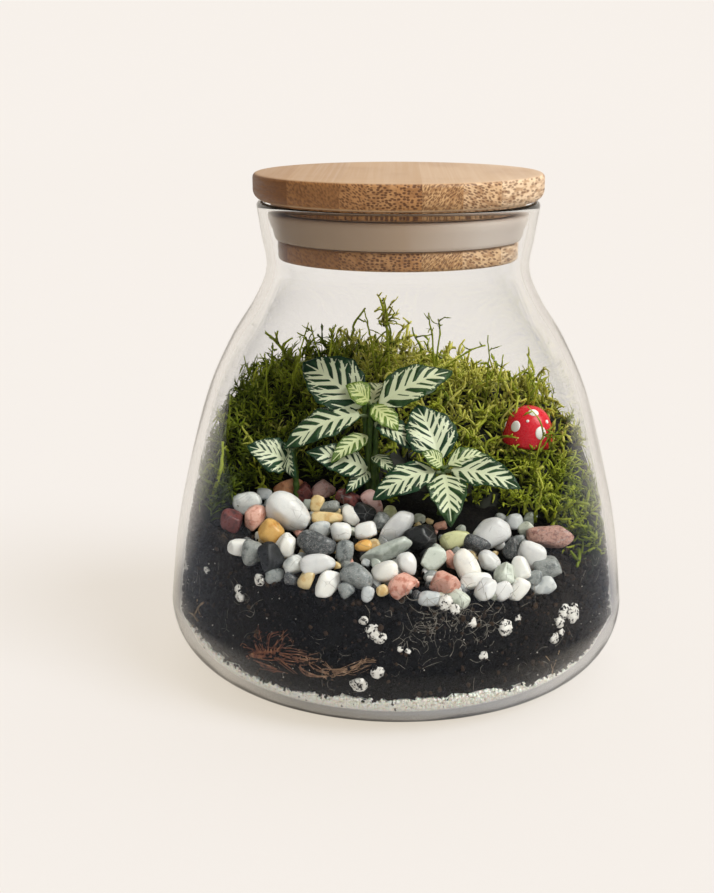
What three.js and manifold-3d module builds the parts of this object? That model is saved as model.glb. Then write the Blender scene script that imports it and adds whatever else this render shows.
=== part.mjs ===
// A closed glass jar terrarium: white sand, dark potting soil, a bed of polished pebbles, moss, white-veined
// nerve plants and a painted toadstool, under a bamboo lid with a silicone seal.
// Millimetres, +Z up. The origin is the centre of the jar's flat foot; the pebble bed faces -Y.
import * as THREE from "three";
import { mergeVertices } from "three/addons/utils/BufferGeometryUtils.js";
import Module from "manifold-3d";

const wasm = await Module();
wasm.setup();
const { Manifold } = wasm;

// ---------------------------------------------------------------- driving dimensions

const AROUND = 28; // facets round the jar, the lid and the fills
const CORNER_STEPS = 4; // steps up the jar's rounded corner
const WALL_STEPS = 8; // steps up the jar's wall
const GAP = 0.3; // clearance between pieces that touch
const LEAF_GAP = 0.45; // clearance round the plants and the toadstool

const JAR_HEIGHT = 151.7;
const WALL = 2.8;
const FLOOR = 3; // thickness of the jar's base
const FOOT_RADIUS = 53;
const CORNER_RADIUS = 22; // rounded corner between foot and wall
const RIM_ROUND = 1.4;
// Outside of the wall as radius and height, from its widest place up over the shoulder and the waist of the
// neck to the mouth.
const WALL_LINE = [
  [75, 22],
  [72.6, 44],
  [68.6, 64],
  [61.6, 90],
  [53.6, 108],
  [45.8, 120.5],
  [41.8, 130.5],
  [43.2, 141],
  [44.6, 150],
];

const CAVITY_TOP = 128; // nothing grows higher than this, in the waist of the neck

const LID_RADIUS = 45.7;
const LID_UNDER = JAR_HEIGHT + GAP;
// Edge of the lid, from its underside to its top: how far inside its radius, how far above the underside.
const LID_EDGE = [
  [3.2, 0],
  [1.2, 1],
  [0.2, 3],
  [0, 5],
  [0.2, 7.4],
  [0.9, 8.4],
];
const PLUG_BOTTOM = 134.3;
const PLUG_RADIUS = 38.1; // bamboo plug under the seal
const PLUG_CHAMFER = 0.8;
const PLUG_SHELF_RADIUS = 40.2; // bamboo above the seal
const GROOVE_RADIUS = 35.5;
const SEAL_BOTTOM = 140.3;
const SEAL_TOP = 148.8;
const SEAL_RADIUS = 41.1; // widest, near the top, just inside the mouth
// Outside of the seal, from its foot to its top: how far inside its radius, how far below its top.
const SEAL_EDGE = [
  [2.7, 8.5],
  [2.2, 7.9],
  [0.7, 4.5],
  [0, 1.5],
  [0.4, 0],
];

const SAND_TOP = 13.4;
const GLASS_INSIDE = 70; // radius of the inside of the wall where the pebbles meet it
const FRONT_LINE = 43.5; // height of the slope's foot at the front glass
const FRONT_TILT = -0.09; // how that line falls towards +X
const FRONT_CURVE = 0.0008;
const SLOPE_RISE = 37; // how far the slope climbs towards the back
const SLOPE_LENGTH = 95;
const SOIL_HALF = 78; // half the side of the square that the soil and the grit are cut from
const SOIL_CELLS = 14; // squares across the soil's surface

const BANK_RISE = 14; // soil banked up further under the moss
const BANK_FRONT = -12;
const BANK_LENGTH = 40;

const MOSS_SKIN = 3.4; // least thickness of the moss
// Cushions of moss: centre x, y, spread x, y and height above the skin.
const MOSS_HUMPS = [
  [-38, 6, 22, 16, 2.5],
  [-2, 28, 18, 28, 6.5],
  [40, 15, 28, 16, 6.5],
  [62, 4, 13, 15, 8],
];
const MOSS_FRONT = -17; // y where the moss ends, in the middle
const MOSS_ARMS = 24; // how much further forward it reaches at the sides
const MOSS_EDGE = 8; // depth over which its front edge rises
const MOSS_ROOT = 2; // how far it reaches down below the soil's surface
const MOSS_LUMPS = 1.8; // height of the small lumps all over it
const MOSS_HALF = 68; // half the side of the square that it is cut from
const MOSS_CELLS = 17; // squares across the moss
const MOSS_UNDER = 40; // below the lowest moss
const MOSS_SEAM = 2.5; // no shoot stands nearer than this to the seam between two clumps
const SHOOT_HALF = 62; // shoots stand within this of the middle, left and right
const SHOOT_FRONT = -42; // least y of a shoot
const SHOOT_DEPTH = 100;
const SHOOT_RING = 66; // greatest distance of a shoot from the jar's axis, low down
const SHOOT_TAPER = 0.45; // how that distance shrinks for each mm that the moss is above the next height
const SHOOT_TAPER_FROM = 60;
const SHOOT_ROOT = 1.2; // how deep a shoot is rooted in the moss
const SHOOT_TALL = 0.88; // above this draw a shoot is a tall one
const JAR_BOX = 80; // more than the jar's radius
// Clumps: name, lowest x, highest x, shoots.
const MOSS_CLUMPS = [
  ["moss_left", -JAR_BOX, -17, 42],
  ["moss_back", -17, 18, 34],
  ["moss_right", 18, JAR_BOX, 42],
];

// Pebbles: x, y, how much deeper than the slope it lies, length, width, turn in degrees as seen from the
// front, colour, and the name of the node if the pebble is a large one with a node of its own.
const PEBBLES = [
  [-46, -28.5, 0, 9, 7.5, 20, "pale"],
  [-43.5, -37, 0, 9.5, 7, 70, "pink", "pebble_pink"],
  [-50, -36.5, 0, 8, 6.5, 80, "maroon"],
  [-32.5, -37, 0, 15, 11, -30, "white", "pebble_white_large"],
  [-37.5, -44, 0, 7.5, 7.5, -40, "amber", "pebble_amber"],
  [-34.5, -20, 0, 11, 5.5, 15, "brown", "pebble_brown"],
  [-29, -22, 0, 6.5, 6, 60, "maroon"],
  [-23, -19.5, 0, 10, 6, 20, "mauve", "pebble_mauve"],
  [-41.5, -22, 0, 5, 4, 0, "pale"],
  [-24.5, -27.5, 0, 6, 4.5, 75, "ochre"],
  [-14.5, -24, 0, 9.5, 5, -20, "maroon"],
  [-7, -26.5, 0, 10, 6, -50, "mauve"],
  [-9.5, -33, 0, 8, 7, -40, "black"],
  [-20.5, -28.5, 0, 6.5, 4, 15, "grey"],
  [-21, -34.5, 0, 10, 4.5, 0, "ochre"],
  [-14, -34, 0, 7, 5.5, -65, "white"],
  [-16.5, -43, 0, 6.5, 6, 0, "white"],
  [-9, -42, 0, 7, 6, 10, "white"],
  [-23, -41.5, 0, 7, 5, 10, "pale"],
  [0, -39.5, 0, 13.5, 7, 45, "white", "pebble_white_long"],
  [-23.5, -50.5, 0, 12.5, 8, -10, "charcoal", "pebble_charcoal"],
  [-15, -52.5, 0, 8, 5.5, 80, "grey"],
  [-9.5, -47.5, 0, 5.5, 4, 10, "amber"],
  [-3, -51.5, -0.5, 17, 5.5, 25, "sage", "pebble_sage_long"],
  [-46.5, -46.5, 1.5, 7, 5.5, 0, "white"],
  [-42.5, -50, 1.5, 8, 6, 80, "grey"],
  [-36.5, -54, 1, 8.5, 8, -60, "black", "pebble_black_left"],
  [-32.5, -50, 0, 7.5, 6.5, 60, "white"],
  [-29.5, -57.5, 0.5, 6.5, 5.5, 30, "pale"],
  [-22.5, -58.5, 0, 10.5, 6.5, 10, "white", "pebble_white_oval"],
  [-19.5, -63, 2.5, 9, 6.5, 65, "white", "pebble_white_front"],
  [-25.5, -61, 2, 6.5, 5, 70, "ochre"],
  [-35, -56.5, 4, 6, 4.5, 10, "grey"],
  [-30, -60, 2.5, 4.5, 4.5, 0, "charcoal"],
  [-11, -63.5, 0, 10, 7, -30, "grey", "pebble_grey_front"],
  [-14, -65, 2, 5, 5, 20, "grey"],
  [-3, -60.5, 0, 8, 6.5, 10, "white"],
  [3.5, -55.5, 0, 7.5, 6, -60, "white"],
  [-8, -66, 2, 5, 4, 80, "pale"],
  [-3.5, -65.5, 0.5, 4, 3.5, 30, "ochre"],
  [2.5, -64.5, 1, 9.5, 7.5, 40, "salmon", "pebble_salmon_left"],
  [-4.5, -35, 0, 6, 5, 60, "grey"],
  [-1.5, -30, 0, 5, 5, 0, "olive"],
  [7.5, -44, 0, 11, 8, 15, "black", "pebble_black_right"],
  [18, -40.5, 0, 10, 5.5, 20, "olive", "pebble_yellow"],
  [11, -52.5, 0, 8.5, 7.5, 20, "sage", "pebble_sage"],
  [16, -50.5, 0, 7.5, 4, -75, "salmon"],
  [24.5, -42, 0, 8.5, 5.5, -25, "charcoal"],
  [29, -37.5, 0, 12.5, 10, 10, "white", "pebble_white_round"],
  [21, -54, 0, 10.5, 7.5, -60, "white", "pebble_white_tall"],
  [28, -48.5, 0, 7.5, 6, -20, "white"],
  [35, -41, 0, 7.5, 6, -60, "charcoal", "pebble_grey_drop"],
  [37, -26, 0, 6, 5.5, 20, "pale"],
  [33, -24, 0, 4, 3.5, 0, "grey"],
  [42.5, -22.5, 0, 5.5, 4.5, 70, "sage"],
  [40.5, -28, 0, 5, 4.5, 40, "sage"],
  [47.5, -31, 0, 14.5, 7.5, 0, "pink", "pebble_granite"],
  [41, -43, 0, 9, 8, -25, "white"],
  [45, -46, 0.5, 8, 7.5, 20, "grey"],
  [32.5, -53.5, 0, 7.5, 7, 10, "sage"],
  [37, -49.5, 0, 8, 6, -70, "white"],
  [41, -50.5, 0.5, 5, 5, 0, "grey"],
  [26, -61, 0.5, 7.5, 6, 60, "white"],
  [23.5, -58, 0, 9.5, 5, 10, "white"],
  [31, -58.5, 1.5, 6.5, 5.5, 30, "white"],
  [36, -55.5, 2, 7.5, 5.5, 60, "white"],
  [44, -49.5, 3, 7, 5.5, 25, "pale"],
  [14, -62, 0, 9.5, 7.5, 10, "salmon", "pebble_salmon_right"],
  [18, -63.5, 3, 7.5, 5.5, -40, "sage"],
  [10, -66, 1.5, 7, 4.5, 0, "pale"],
];
const PEBBLE_SINK = 0.7; // how deep the pebbles are pressed into the grit
const PEBBLE_TILT = THREE.MathUtils.degToRad(24); // they lean back on the slope
const BED_DEPTH = 2; // thickness of the grit that the pebbles sit in
const BED_GROOVE = 2.5; // how much deeper it is at the front glass
const BED_SIDE = 51; // greatest x of the grit
const BED_BACK = -17; // its rear edge at the left
const BED_STEP = 6; // how much further forward the rear edge is at the right
const BED_STEP_FROM = -22; // x where it starts to step forward
const BED_STEP_OVER = 20;
const BED_SKIRT = 6; // width over which the grit thins out
const BED_CELLS = 10; // squares across the grit's surface
const BED_UNDER = 30; // below the lowest grit
const MIDDLE_PEBBLE = 6; // small pebbles longer than this have more facets
const SOCKET_SWELL = 1.17; // a socket has few facets, and is this much larger to stay clear of its pebble
// Rear edge of the bed, seen from above, from left to right. The moss begins behind it.
const BED_EDGE = [
  [-54.5, -80],
  [-54.5, -31],
  [-48, -22],
  [-38, -15.5],
  [-17, -14.5],
  [-9, -20.5],
  [6, -24],
  [27, -20],
  [45, -18.5],
  [55.5, -27],
  [55.5, -80],
];

const COLOURS = {
  white: 0xe6e4df,
  pale: 0xbfc0ba,
  grey: 0x858a88,
  charcoal: 0x45484a,
  black: 0x262625,
  maroon: 0x4a2626,
  brown: 0x8a5836,
  mauve: 0x94706a,
  pink: 0xc08a7c,
  salmon: 0xb86a58,
  amber: 0xdb9f45,
  ochre: 0xd2b078,
  sage: 0xaab3a2,
  olive: 0xc4c793,
};

const LEAF_THICKNESS = 0.7;
const LEAF_ARCH = 0.11; // rise of the rib's middle, as a share of the leaf's length
const LEAF_WAVE = 0.4; // height of the margin's waves
const LEAF_STATIONS = 7; // rows of points along a leaf
const PETIOLE = 0.12; // share of a leaf's length that is stalk
const PETIOLE_HALF = 0.5; // half the stalk's width
const STEM_SIDES = 6;
const STEM_STEPS = 4;
const HOLE_STEPS = 6;
// Nerve plants. Stem: the points that it grows through. Leaves: where on the stem (0 to 1), tip, half width,
// and the way that the upper face looks.
const PLANTS = [
  {
    name: "nerve_plant_main",
    radius: 2.4,
    stem: [
      [-7.5, -17, 58],
      [-7.8, -16.5, 72],
      [-8.5, -14.5, 89],
    ],
    leaves: [
      [0.86, [-30, -7, 101], 9, [0.3, -0.9, 0.35]],
      [0.86, [-35, -27, 78], 6.2, [-0.1, -0.55, 0.85]],
      [0.88, [17.5, -9, 99], 6.6, [-0.15, -0.75, 0.65]],
      [0.8, [5.5, -27, 78], 4.6, [0.3, -0.6, 0.75]],
      [0.98, [-15.5, -17, 95.5], 4.2, [0.3, -0.7, 0.6]],
      [0.97, [0.5, -23, 82.5], 4.1, [0.1, -0.6, 0.8]],
      [0.7, [-20, -29, 74], 3.4, [0.1, -0.6, 0.8]],
      [0.34, [-27.5, -27, 76.5], 5.2, [-0.1, -0.8, 0.6]],
      [0.5, [-1, -27, 70], 3, [0.1, -0.5, 0.85]],
      [0.36, [-15.5, -27, 63.5], 2.8, [0, -0.7, 0.7]],
      [0.9, [-4, 4, 92], 4.4, [0, 0.2, 0.95]],
    ],
  },
  {
    name: "nerve_plant_left",
    radius: 1.1,
    stem: [
      [-31, -23, 57],
      [-31.5, -22.5, 67],
      [-32.3, -21.5, 77],
    ],
    leaves: [
      [0.62, [-45.5, -28, 78.5], 5.8, [0.35, -0.75, 0.55]],
      [0.97, [-31.4, -33, 70], 3.4, [-0.85, -0.4, 0.35]],
    ],
  },
  {
    name: "nerve_plant_right",
    radius: 1.2,
    stem: [
      [14, -26, 56],
      [14.3, -26.5, 65],
      [14.5, -28, 72],
    ],
    leaves: [
      [0.92, [6.5, -16, 89], 8.2, [0.2, -0.85, 0.45]],
      [0.86, [-7, -39, 65.5], 6.1, [-0.1, -0.55, 0.85]],
      [0.84, [16.5, -49, 61], 6, [0, -0.55, 0.85]],
      [0.88, [37.5, -38, 69], 6, [0.1, -0.6, 0.8]],
      [0.97, [28.5, -25, 75.5], 3.9, [-0.1, -0.6, 0.8]],
      [1.0, [8, -32, 78], 3, [0.2, -0.75, 0.65]],
    ],
  },
];

const TOADSTOOL = [43.3, 3]; // where it stands
const CAP_RIM = 71.5; // height of the cap's rim
const CAP_RADIUS = 8.4;
const CAP_HEIGHT = 12;
const CAP_LEAN = THREE.MathUtils.degToRad(6); // towards +X
const CAP_LIFT = 0.8; // height of the cap's upright rim
const CAP_STEPS = 7;
const CAP_AROUND = 16;
const STALK_RADIUS = 2.6;
const STALK_ROOT = 4; // how deep the stalk stands in the soil
const STALK_AROUND = 12;

// ---------------------------------------------------------------- solids and meshes

// A closed geometry as a solid that can be joined and cut.
function solidOf(geometry) {
  const bare = geometry.clone();
  bare.deleteAttribute("normal");
  bare.deleteAttribute("uv");
  const merged = mergeVertices(bare, 1e-4);
  return new Manifold(
    new wasm.Mesh({
      numProp: 3,
      vertProperties: merged.attributes.position.array,
      triVerts: new Uint32Array(merged.index.array),
    }),
  );
}

function meshOf(name, solid, material) {
  const { numProp, numVert, vertProperties, triVerts } = solid.getMesh();
  const position = new Float32Array(numVert * 3);
  for (let i = 0; i < numVert; i++)
    position.set(vertProperties.subarray(i * numProp, i * numProp + 3), i * 3);
  const geometry = new THREE.BufferGeometry()
    .setAttribute("position", new THREE.BufferAttribute(position, 3))
    .setIndex(new THREE.BufferAttribute(triVerts, 1));
  geometry.computeVertexNormals();
  const mesh = new THREE.Mesh(geometry, material);
  mesh.name = name;
  return mesh;
}

// What is left of a cut piece once its loose scraps are dropped.
function largest(solid) {
  return solid
    .decompose()
    .reduce((most, each) => (each.volume() > most.volume() ? each : most));
}

const join = (solids) => Manifold.union(solids);
const cut = (solid, cutters) =>
  cutters.length ? solid.subtract(join(cutters)) : solid;

// Turns a profile of [radius, height] points round the Z axis.
function lathe(profile) {
  const points = profile.map(([r, z]) => new THREE.Vector2(r, z));
  return solidOf(new THREE.LatheGeometry(points, AROUND).rotateX(Math.PI / 2));
}

// A closed block under a height function, on a square grid, down to a flat underside.
function terrain(height, half, cells, under) {
  const side = cells + 1;
  const step = (2 * half) / cells;
  const position = [];
  for (const top of [true, false])
    for (let j = 0; j < side; j++)
      for (let i = 0; i < side; i++) {
        const x = i * step - half;
        const y = j * step - half;
        position.push(x, y, top ? height(x, y) : under);
      }
  const index = [];
  const quad = (a, b, c, d) => index.push(a, b, c, a, c, d);
  const low = side * side;
  for (let j = 0; j < cells; j++)
    for (let i = 0; i < cells; i++) {
      const a = j * side + i;
      quad(a, a + 1, a + side + 1, a + side);
      quad(low + a, low + a + side, low + a + side + 1, low + a + 1);
    }
  const wall = (a, b) => quad(low + a, low + b, b, a);
  for (let i = 0; i < cells; i++) {
    wall(i, i + 1);
    wall(low - 1 - i, low - 2 - i);
    wall((cells - i) * side, (cells - i - 1) * side);
    wall(i * side + cells, (i + 1) * side + cells);
  }
  const geometry = new THREE.BufferGeometry()
    .setAttribute("position", new THREE.Float32BufferAttribute(position, 3))
    .setIndex(index);
  return solidOf(geometry);
}

function box(low, high) {
  const size = high.map((h, i) => h - low[i]);
  const middle = high.map((h, i) => (h + low[i]) / 2);
  return solidOf(new THREE.BoxGeometry(...size).translate(...middle));
}

// A tube along points, closed at both ends.
function tube(points, radius, sides, steps) {
  const path = new THREE.CatmullRomCurve3(points);
  const section = new THREE.Shape(
    new THREE.EllipseCurve(0, 0, radius, radius).getPoints(sides).slice(1),
  );
  return solidOf(
    new THREE.ExtrudeGeometry(section, { steps, extrudePath: path }),
  );
}

// Numbers from 0 to 1 that are the same in every run.
function seeded(seed) {
  let state = seed;
  return () => {
    state = (state * 1664525 + 1013904223) % 4294967296;
    return state / 4294967296;
  };
}

// An upright block of a plan outline.
function block(outline, low, high) {
  const shape = new THREE.Shape(outline.map((p) => new THREE.Vector2(...p)));
  const geometry = new THREE.ExtrudeGeometry(shape, { depth: high - low, bevelEnabled: false });
  return solidOf(geometry.translate(0, 0, low));
}

const smoothstep = (t) => THREE.MathUtils.smoothstep(t, 0, 1);

// ---------------------------------------------------------------- glass jar

// The wall's line at a distance inside the outer face, from the corner's start at the foot up to the mouth.
function wallLine(inset, top) {
  const arc = [];
  for (let i = 0; i <= CORNER_STEPS; i++) {
    const angle = (i / CORNER_STEPS) * (Math.PI / 2);
    arc.push([
      FOOT_RADIUS + (CORNER_RADIUS - inset) * Math.sin(angle),
      CORNER_RADIUS - (CORNER_RADIUS - inset) * Math.cos(angle),
    ]);
  }
  const curve = new THREE.SplineCurve(
    WALL_LINE.map(([r, z]) => new THREE.Vector2(r, z)),
  );
  const rise = [];
  for (let i = 1; i <= WALL_STEPS; i++) {
    const point = curve.getPoint(i / WALL_STEPS);
    const along = curve.getTangent(i / WALL_STEPS);
    rise.push([point.x - inset * along.y, point.y + inset * along.x]);
  }
  return [...arc, ...rise.filter(([, z]) => z < top)];
}

function makeJar() {
  const outside = wallLine(0, JAR_HEIGHT - RIM_ROUND);
  const inside = wallLine(WALL, JAR_HEIGHT - RIM_ROUND);
  const lip = outside[outside.length - 1][0];
  const rim = [
    [lip, JAR_HEIGHT - RIM_ROUND * 0.6],
    [lip - RIM_ROUND * 0.7, JAR_HEIGHT],
    [lip - WALL + RIM_ROUND * 0.7, JAR_HEIGHT],
    [lip - WALL, JAR_HEIGHT - RIM_ROUND * 0.6],
  ];
  const lift = FLOOR - WALL; // the base is thicker than the wall
  const bowl = inside.map(([r, z]) => [r, Math.max(z, FLOOR, z + lift * (1 - z / CORNER_RADIUS))]);
  return lathe([[0, 0], ...outside, ...rim, ...bowl.reverse(), [0, FLOOR]]);
}

// The free space inside the jar, clear of the glass.
function makeCavity() {
  const bare = wallLine(WALL + 1.3 * GAP, CAVITY_TOP);
  const floor = FLOOR + GAP;
  const lift = FLOOR - WALL;
  const line = bare.map(([r, z]) => [r, Math.max(z, floor, z + lift * (1 - z / CORNER_RADIUS))]);
  const neck = line[line.length - 1][0];
  return lathe([[0, floor], ...line, [neck, CAVITY_TOP], [0, CAVITY_TOP]]);
}

// ---------------------------------------------------------------- lid and seal

function makeLidDisc() {
  const edge = LID_EDGE.map(([inside, above]) => [LID_RADIUS - inside, LID_UNDER + above]);
  const top = edge[edge.length - 1][1];
  return lathe([[0, LID_UNDER], ...edge, [0, top]]);
}

// The turned plug under the disc, with the groove that holds the seal.
function makeLidPlug() {
  return lathe([
    [0, PLUG_BOTTOM],
    [PLUG_RADIUS - PLUG_CHAMFER, PLUG_BOTTOM],
    [PLUG_RADIUS, PLUG_BOTTOM + PLUG_CHAMFER],
    [PLUG_RADIUS, SEAL_BOTTOM - GAP],
    [GROOVE_RADIUS, SEAL_BOTTOM - GAP],
    [GROOVE_RADIUS, SEAL_TOP + GAP],
    [PLUG_SHELF_RADIUS, SEAL_TOP + GAP],
    [PLUG_SHELF_RADIUS, LID_UNDER - GAP],
    [0, LID_UNDER - GAP],
  ]);
}

function makeSeal() {
  const bore = GROOVE_RADIUS + GAP;
  const edge = SEAL_EDGE.map(([inside, below]) => [SEAL_RADIUS - inside, SEAL_TOP - below]);
  return lathe([[bore, SEAL_BOTTOM], ...edge, [bore, SEAL_TOP], [bore, SEAL_BOTTOM]]);
}

// ---------------------------------------------------------------- sand and soil

// How far a point is behind the front glass.
function behindGlass(x, y) {
  const across = Math.min(Math.abs(x), 0.9 * GLASS_INSIDE);
  return y + Math.sqrt(GLASS_INSIDE ** 2 - across ** 2);
}

// The slope that pebbles and moss lie on: low at the front glass, climbing to the back.
function slopeHeight(x, y) {
  const foot = FRONT_LINE + FRONT_TILT * x + FRONT_CURVE * x * x;
  const climb = SLOPE_RISE * (1 - Math.exp(-behindGlass(x, y) / SLOPE_LENGTH));
  return foot + climb + BANK_RISE * smoothstep((y - BANK_FRONT) / BANK_LENGTH);
}

// 1 where the pebble bed lies, falling to 0 over its edges.
function bedCover(x, y) {
  const back = BED_BACK - BED_STEP * smoothstep((x - BED_STEP_FROM) / BED_STEP_OVER);
  return smoothstep((back - y) / BED_SKIRT) * smoothstep((BED_SIDE - Math.abs(x)) / BED_SKIRT);
}

// The soil is hollowed under the bed, and more at the glass, where the lowest pebbles hang down.
function soilHeight(x, y) {
  const groove = BED_GROOVE * Math.exp(-((behindGlass(x, y) / 7) ** 2));
  return slopeHeight(x, y) - (BED_DEPTH + groove) * bedCover(x, y);
}

// ---------------------------------------------------------------- pebbles

const LARGE_BALL = new THREE.IcosahedronGeometry(1, 1);
const MIDDLE_BALL = new THREE.OctahedronGeometry(1, 1);
const SMALL_BALL = new THREE.IcosahedronGeometry(1, 0);
const SOCKET_BALL = new THREE.OctahedronGeometry(SOCKET_SWELL, 1);

// One polished pebble lying in the bed. grow swells it evenly, to cut its socket.
function pebble([x, y, deeper, long, wide, turn], seed, grow, ball) {
  const random = seeded(seed + 11);
  const thick = wide * (0.74 + 0.16 * random());
  const phase = 6 * random();
  const blob = ball.clone();
  const place = blob.attributes.position;
  const point = new THREE.Vector3();
  for (let i = 0; i < place.count; i++) {
    point.fromBufferAttribute(place, i);
    const lump = 1 + 0.07 * Math.sin(2.3 * point.x + phase) + 0.05 * Math.sin(3.1 * point.z - phase);
    point.set(
      point.x * (long / 2 + grow) * lump,
      point.y * (thick / 2 + grow) * lump,
      point.z * (wide / 2 + grow) * lump,
    );
    place.setXYZ(i, ...point.toArray());
  }
  blob.rotateY(-THREE.MathUtils.degToRad(turn)).rotateX(-PEBBLE_TILT);
  const z = slopeHeight(x, y) + thick / 2 - PEBBLE_SINK - deeper;
  return solidOf(blob.translate(x, y, z));
}

function makePebbles(cavity, soilLifted, clear) {
  const sockets = [];
  const nodes = [];
  const small = [];
  PEBBLES.forEach((row, i) => {
    const name = row[7];
    if (!name) return small.push(pebble(row, i, 0, row[3] > MIDDLE_PEBBLE ? MIDDLE_BALL : SMALL_BALL));
    const solid = cut(pebble(row, i, 0, LARGE_BALL), [...sockets, soilLifted, ...clear]);
    nodes.push([name, largest(solid.intersect(cavity)), row[6]]);
    sockets.push(pebble(row, i, GAP, SOCKET_BALL));
  });
  const surface = (x, y) => soilHeight(x, y) - 1 + (BED_DEPTH + 0.6) * bedCover(x, y);
  const grit = terrain(surface, SOIL_HALF, BED_CELLS, BED_UNDER);
  const room = block(BED_EDGE, BED_UNDER, CAVITY_TOP).intersect(cavity);
  const heap = cut(join([grit, ...small]).intersect(room), [soilLifted, ...sockets, ...clear]);
  return { bed: largest(heap), nodes };
}

// ---------------------------------------------------------------- nerve plants

// One leaf as a thin arched blade with a waved margin: base and tip of its rib, half width, and its face.
function leafBlade(base, tip, halfWidth, face, thickness) {
  const rib = tip.clone().sub(base);
  const length = rib.length();
  const along = rib.clone().normalize();
  const up = face.clone().addScaledVector(along, -face.dot(along)).normalize();
  const side = new THREE.Vector3().crossVectors(up, along);
  const top = [];
  for (let i = 0; i <= LEAF_STATIONS; i++) {
    const u = i / LEAF_STATIONS;
    const blade = Math.max(0, (u - PETIOLE) / (1 - PETIOLE));
    const half = PETIOLE_HALF + (halfWidth - PETIOLE_HALF) * Math.sin(Math.PI * blade ** 0.8) ** 0.8;
    const rise = LEAF_ARCH * length * 4 * u * (1 - u);
    for (const v of [-1, 0, 1]) {
      const wave = v ? LEAF_WAVE * (i % 2 ? 1 : -1) * (half / halfWidth) + 0.1 * half : 0;
      top.push(
        base
          .clone()
          .addScaledVector(along, u * length)
          .addScaledVector(side, v * half)
          .addScaledVector(up, rise + wave),
      );
    }
  }
  const position = [];
  for (const shift of [0.5, -0.5])
    for (const point of top)
      position.push(...point.clone().addScaledVector(up, shift * thickness).toArray());
  const under = top.length;
  const index = [];
  const quad = (a, b, c, d) => index.push(a, b, c, a, c, d);
  for (let i = 0; i < LEAF_STATIONS; i++) {
    const a = 3 * i;
    const b = a + 3;
    for (const k of [0, 1]) {
      quad(a + k, b + k, b + k + 1, a + k + 1);
      index.push(under + a + k, under + b + k + 1, under + b + k);
      index.push(under + a + k, under + a + k + 1, under + b + k + 1);
    }
    quad(a, under + a, under + b, b);
    quad(b + 2, under + b + 2, under + a + 2, a + 2);
  }
  const last = 3 * LEAF_STATIONS;
  for (const k of [0, 1]) {
    quad(k, k + 1, under + k + 1, under + k);
    quad(last + k + 1, last + k, under + last + k, under + last + k + 1);
  }
  return solidOf(
    new THREE.BufferGeometry()
      .setAttribute("position", new THREE.Float32BufferAttribute(position, 3))
      .setIndex(index),
  );
}

// A whole plant. With grow it is the space that its neighbours keep clear of.
function plant({ radius, stem, leaves }, grow) {
  const points = stem.map((p) => new THREE.Vector3(...p));
  const path = new THREE.CatmullRomCurve3(points);
  const pieces = [tube(points, radius + grow, STEM_SIDES, STEM_STEPS)];
  for (const [where, tipAt, halfWidth, faceAt] of leaves) {
    const root = path.getPoint(where);
    const tip = new THREE.Vector3(...tipAt);
    const reach = tip.clone().sub(root).normalize();
    const end = tip.clone().addScaledVector(reach, grow);
    const face = new THREE.Vector3(...faceAt);
    pieces.push(leafBlade(root, end, halfWidth + grow, face, LEAF_THICKNESS + 2 * grow));
  }
  return join(pieces);
}

// The plain hole in the soil that a plant's stem stands in.
function stemHole({ stem, radius }) {
  const [foot, ...upper] = stem;
  const deeper = [foot[0], foot[1], foot[2] - 2 * GAP];
  const points = [deeper, ...upper].map((p) => new THREE.Vector3(...p));
  return tube(points, radius + LEAF_GAP, STEM_SIDES, HOLE_STEPS);
}

// ---------------------------------------------------------------- toadstool

function toadstoolCap(grow) {
  const profile = [];
  for (let i = 0; i <= CAP_STEPS; i++) {
    const angle = (i / CAP_STEPS) * (Math.PI / 2);
    profile.push([
      (CAP_RADIUS + grow) * Math.cos(angle) ** 0.8,
      (CAP_HEIGHT + grow) * Math.sin(angle) + CAP_LIFT,
    ]);
  }
  profile[CAP_STEPS][0] = 0;
  const points = [[0, -grow], [CAP_RADIUS - 1.2, -grow], ...profile].map((p) => new THREE.Vector2(...p));
  const geometry = new THREE.LatheGeometry(points, CAP_AROUND).rotateX(Math.PI / 2);
  return solidOf(geometry.rotateY(CAP_LEAN).translate(TOADSTOOL[0], TOADSTOOL[1], CAP_RIM));
}

function toadstoolStalk(grow) {
  const foot = soilHeight(...TOADSTOOL) - STALK_ROOT;
  const points = [
    [0, foot - grow],
    [STALK_RADIUS + 0.4 + grow, foot - grow],
    [STALK_RADIUS + grow, CAP_RIM - 5],
    [STALK_RADIUS - 0.5 + grow, CAP_RIM - GAP],
    [0, CAP_RIM - GAP],
  ].map(([r, z]) => new THREE.Vector2(r, z));
  const geometry = new THREE.LatheGeometry(points, STALK_AROUND).rotateX(Math.PI / 2);
  return solidOf(geometry.translate(TOADSTOOL[0], TOADSTOOL[1], 0));
}

// ---------------------------------------------------------------- moss

function mossHeight(x, y) {
  let thick = MOSS_SKIN;
  for (const [cx, cy, sx, sy, high] of MOSS_HUMPS)
    thick += high * Math.exp(-(((x - cx) / sx) ** 2) - ((y - cy) / sy) ** 2);
  const front = MOSS_FRONT - MOSS_ARMS * (Math.abs(x) / 60) ** 2;
  const cover = smoothstep((y - front) / MOSS_EDGE);
  const lumps = MOSS_LUMPS * Math.sin(x / 4.1 + 0.6 * Math.sin(y / 6)) * Math.sin(y / 3.7);
  return soilHeight(x, y) - MOSS_ROOT + (thick + MOSS_ROOT + lumps) * cover;
}

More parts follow.
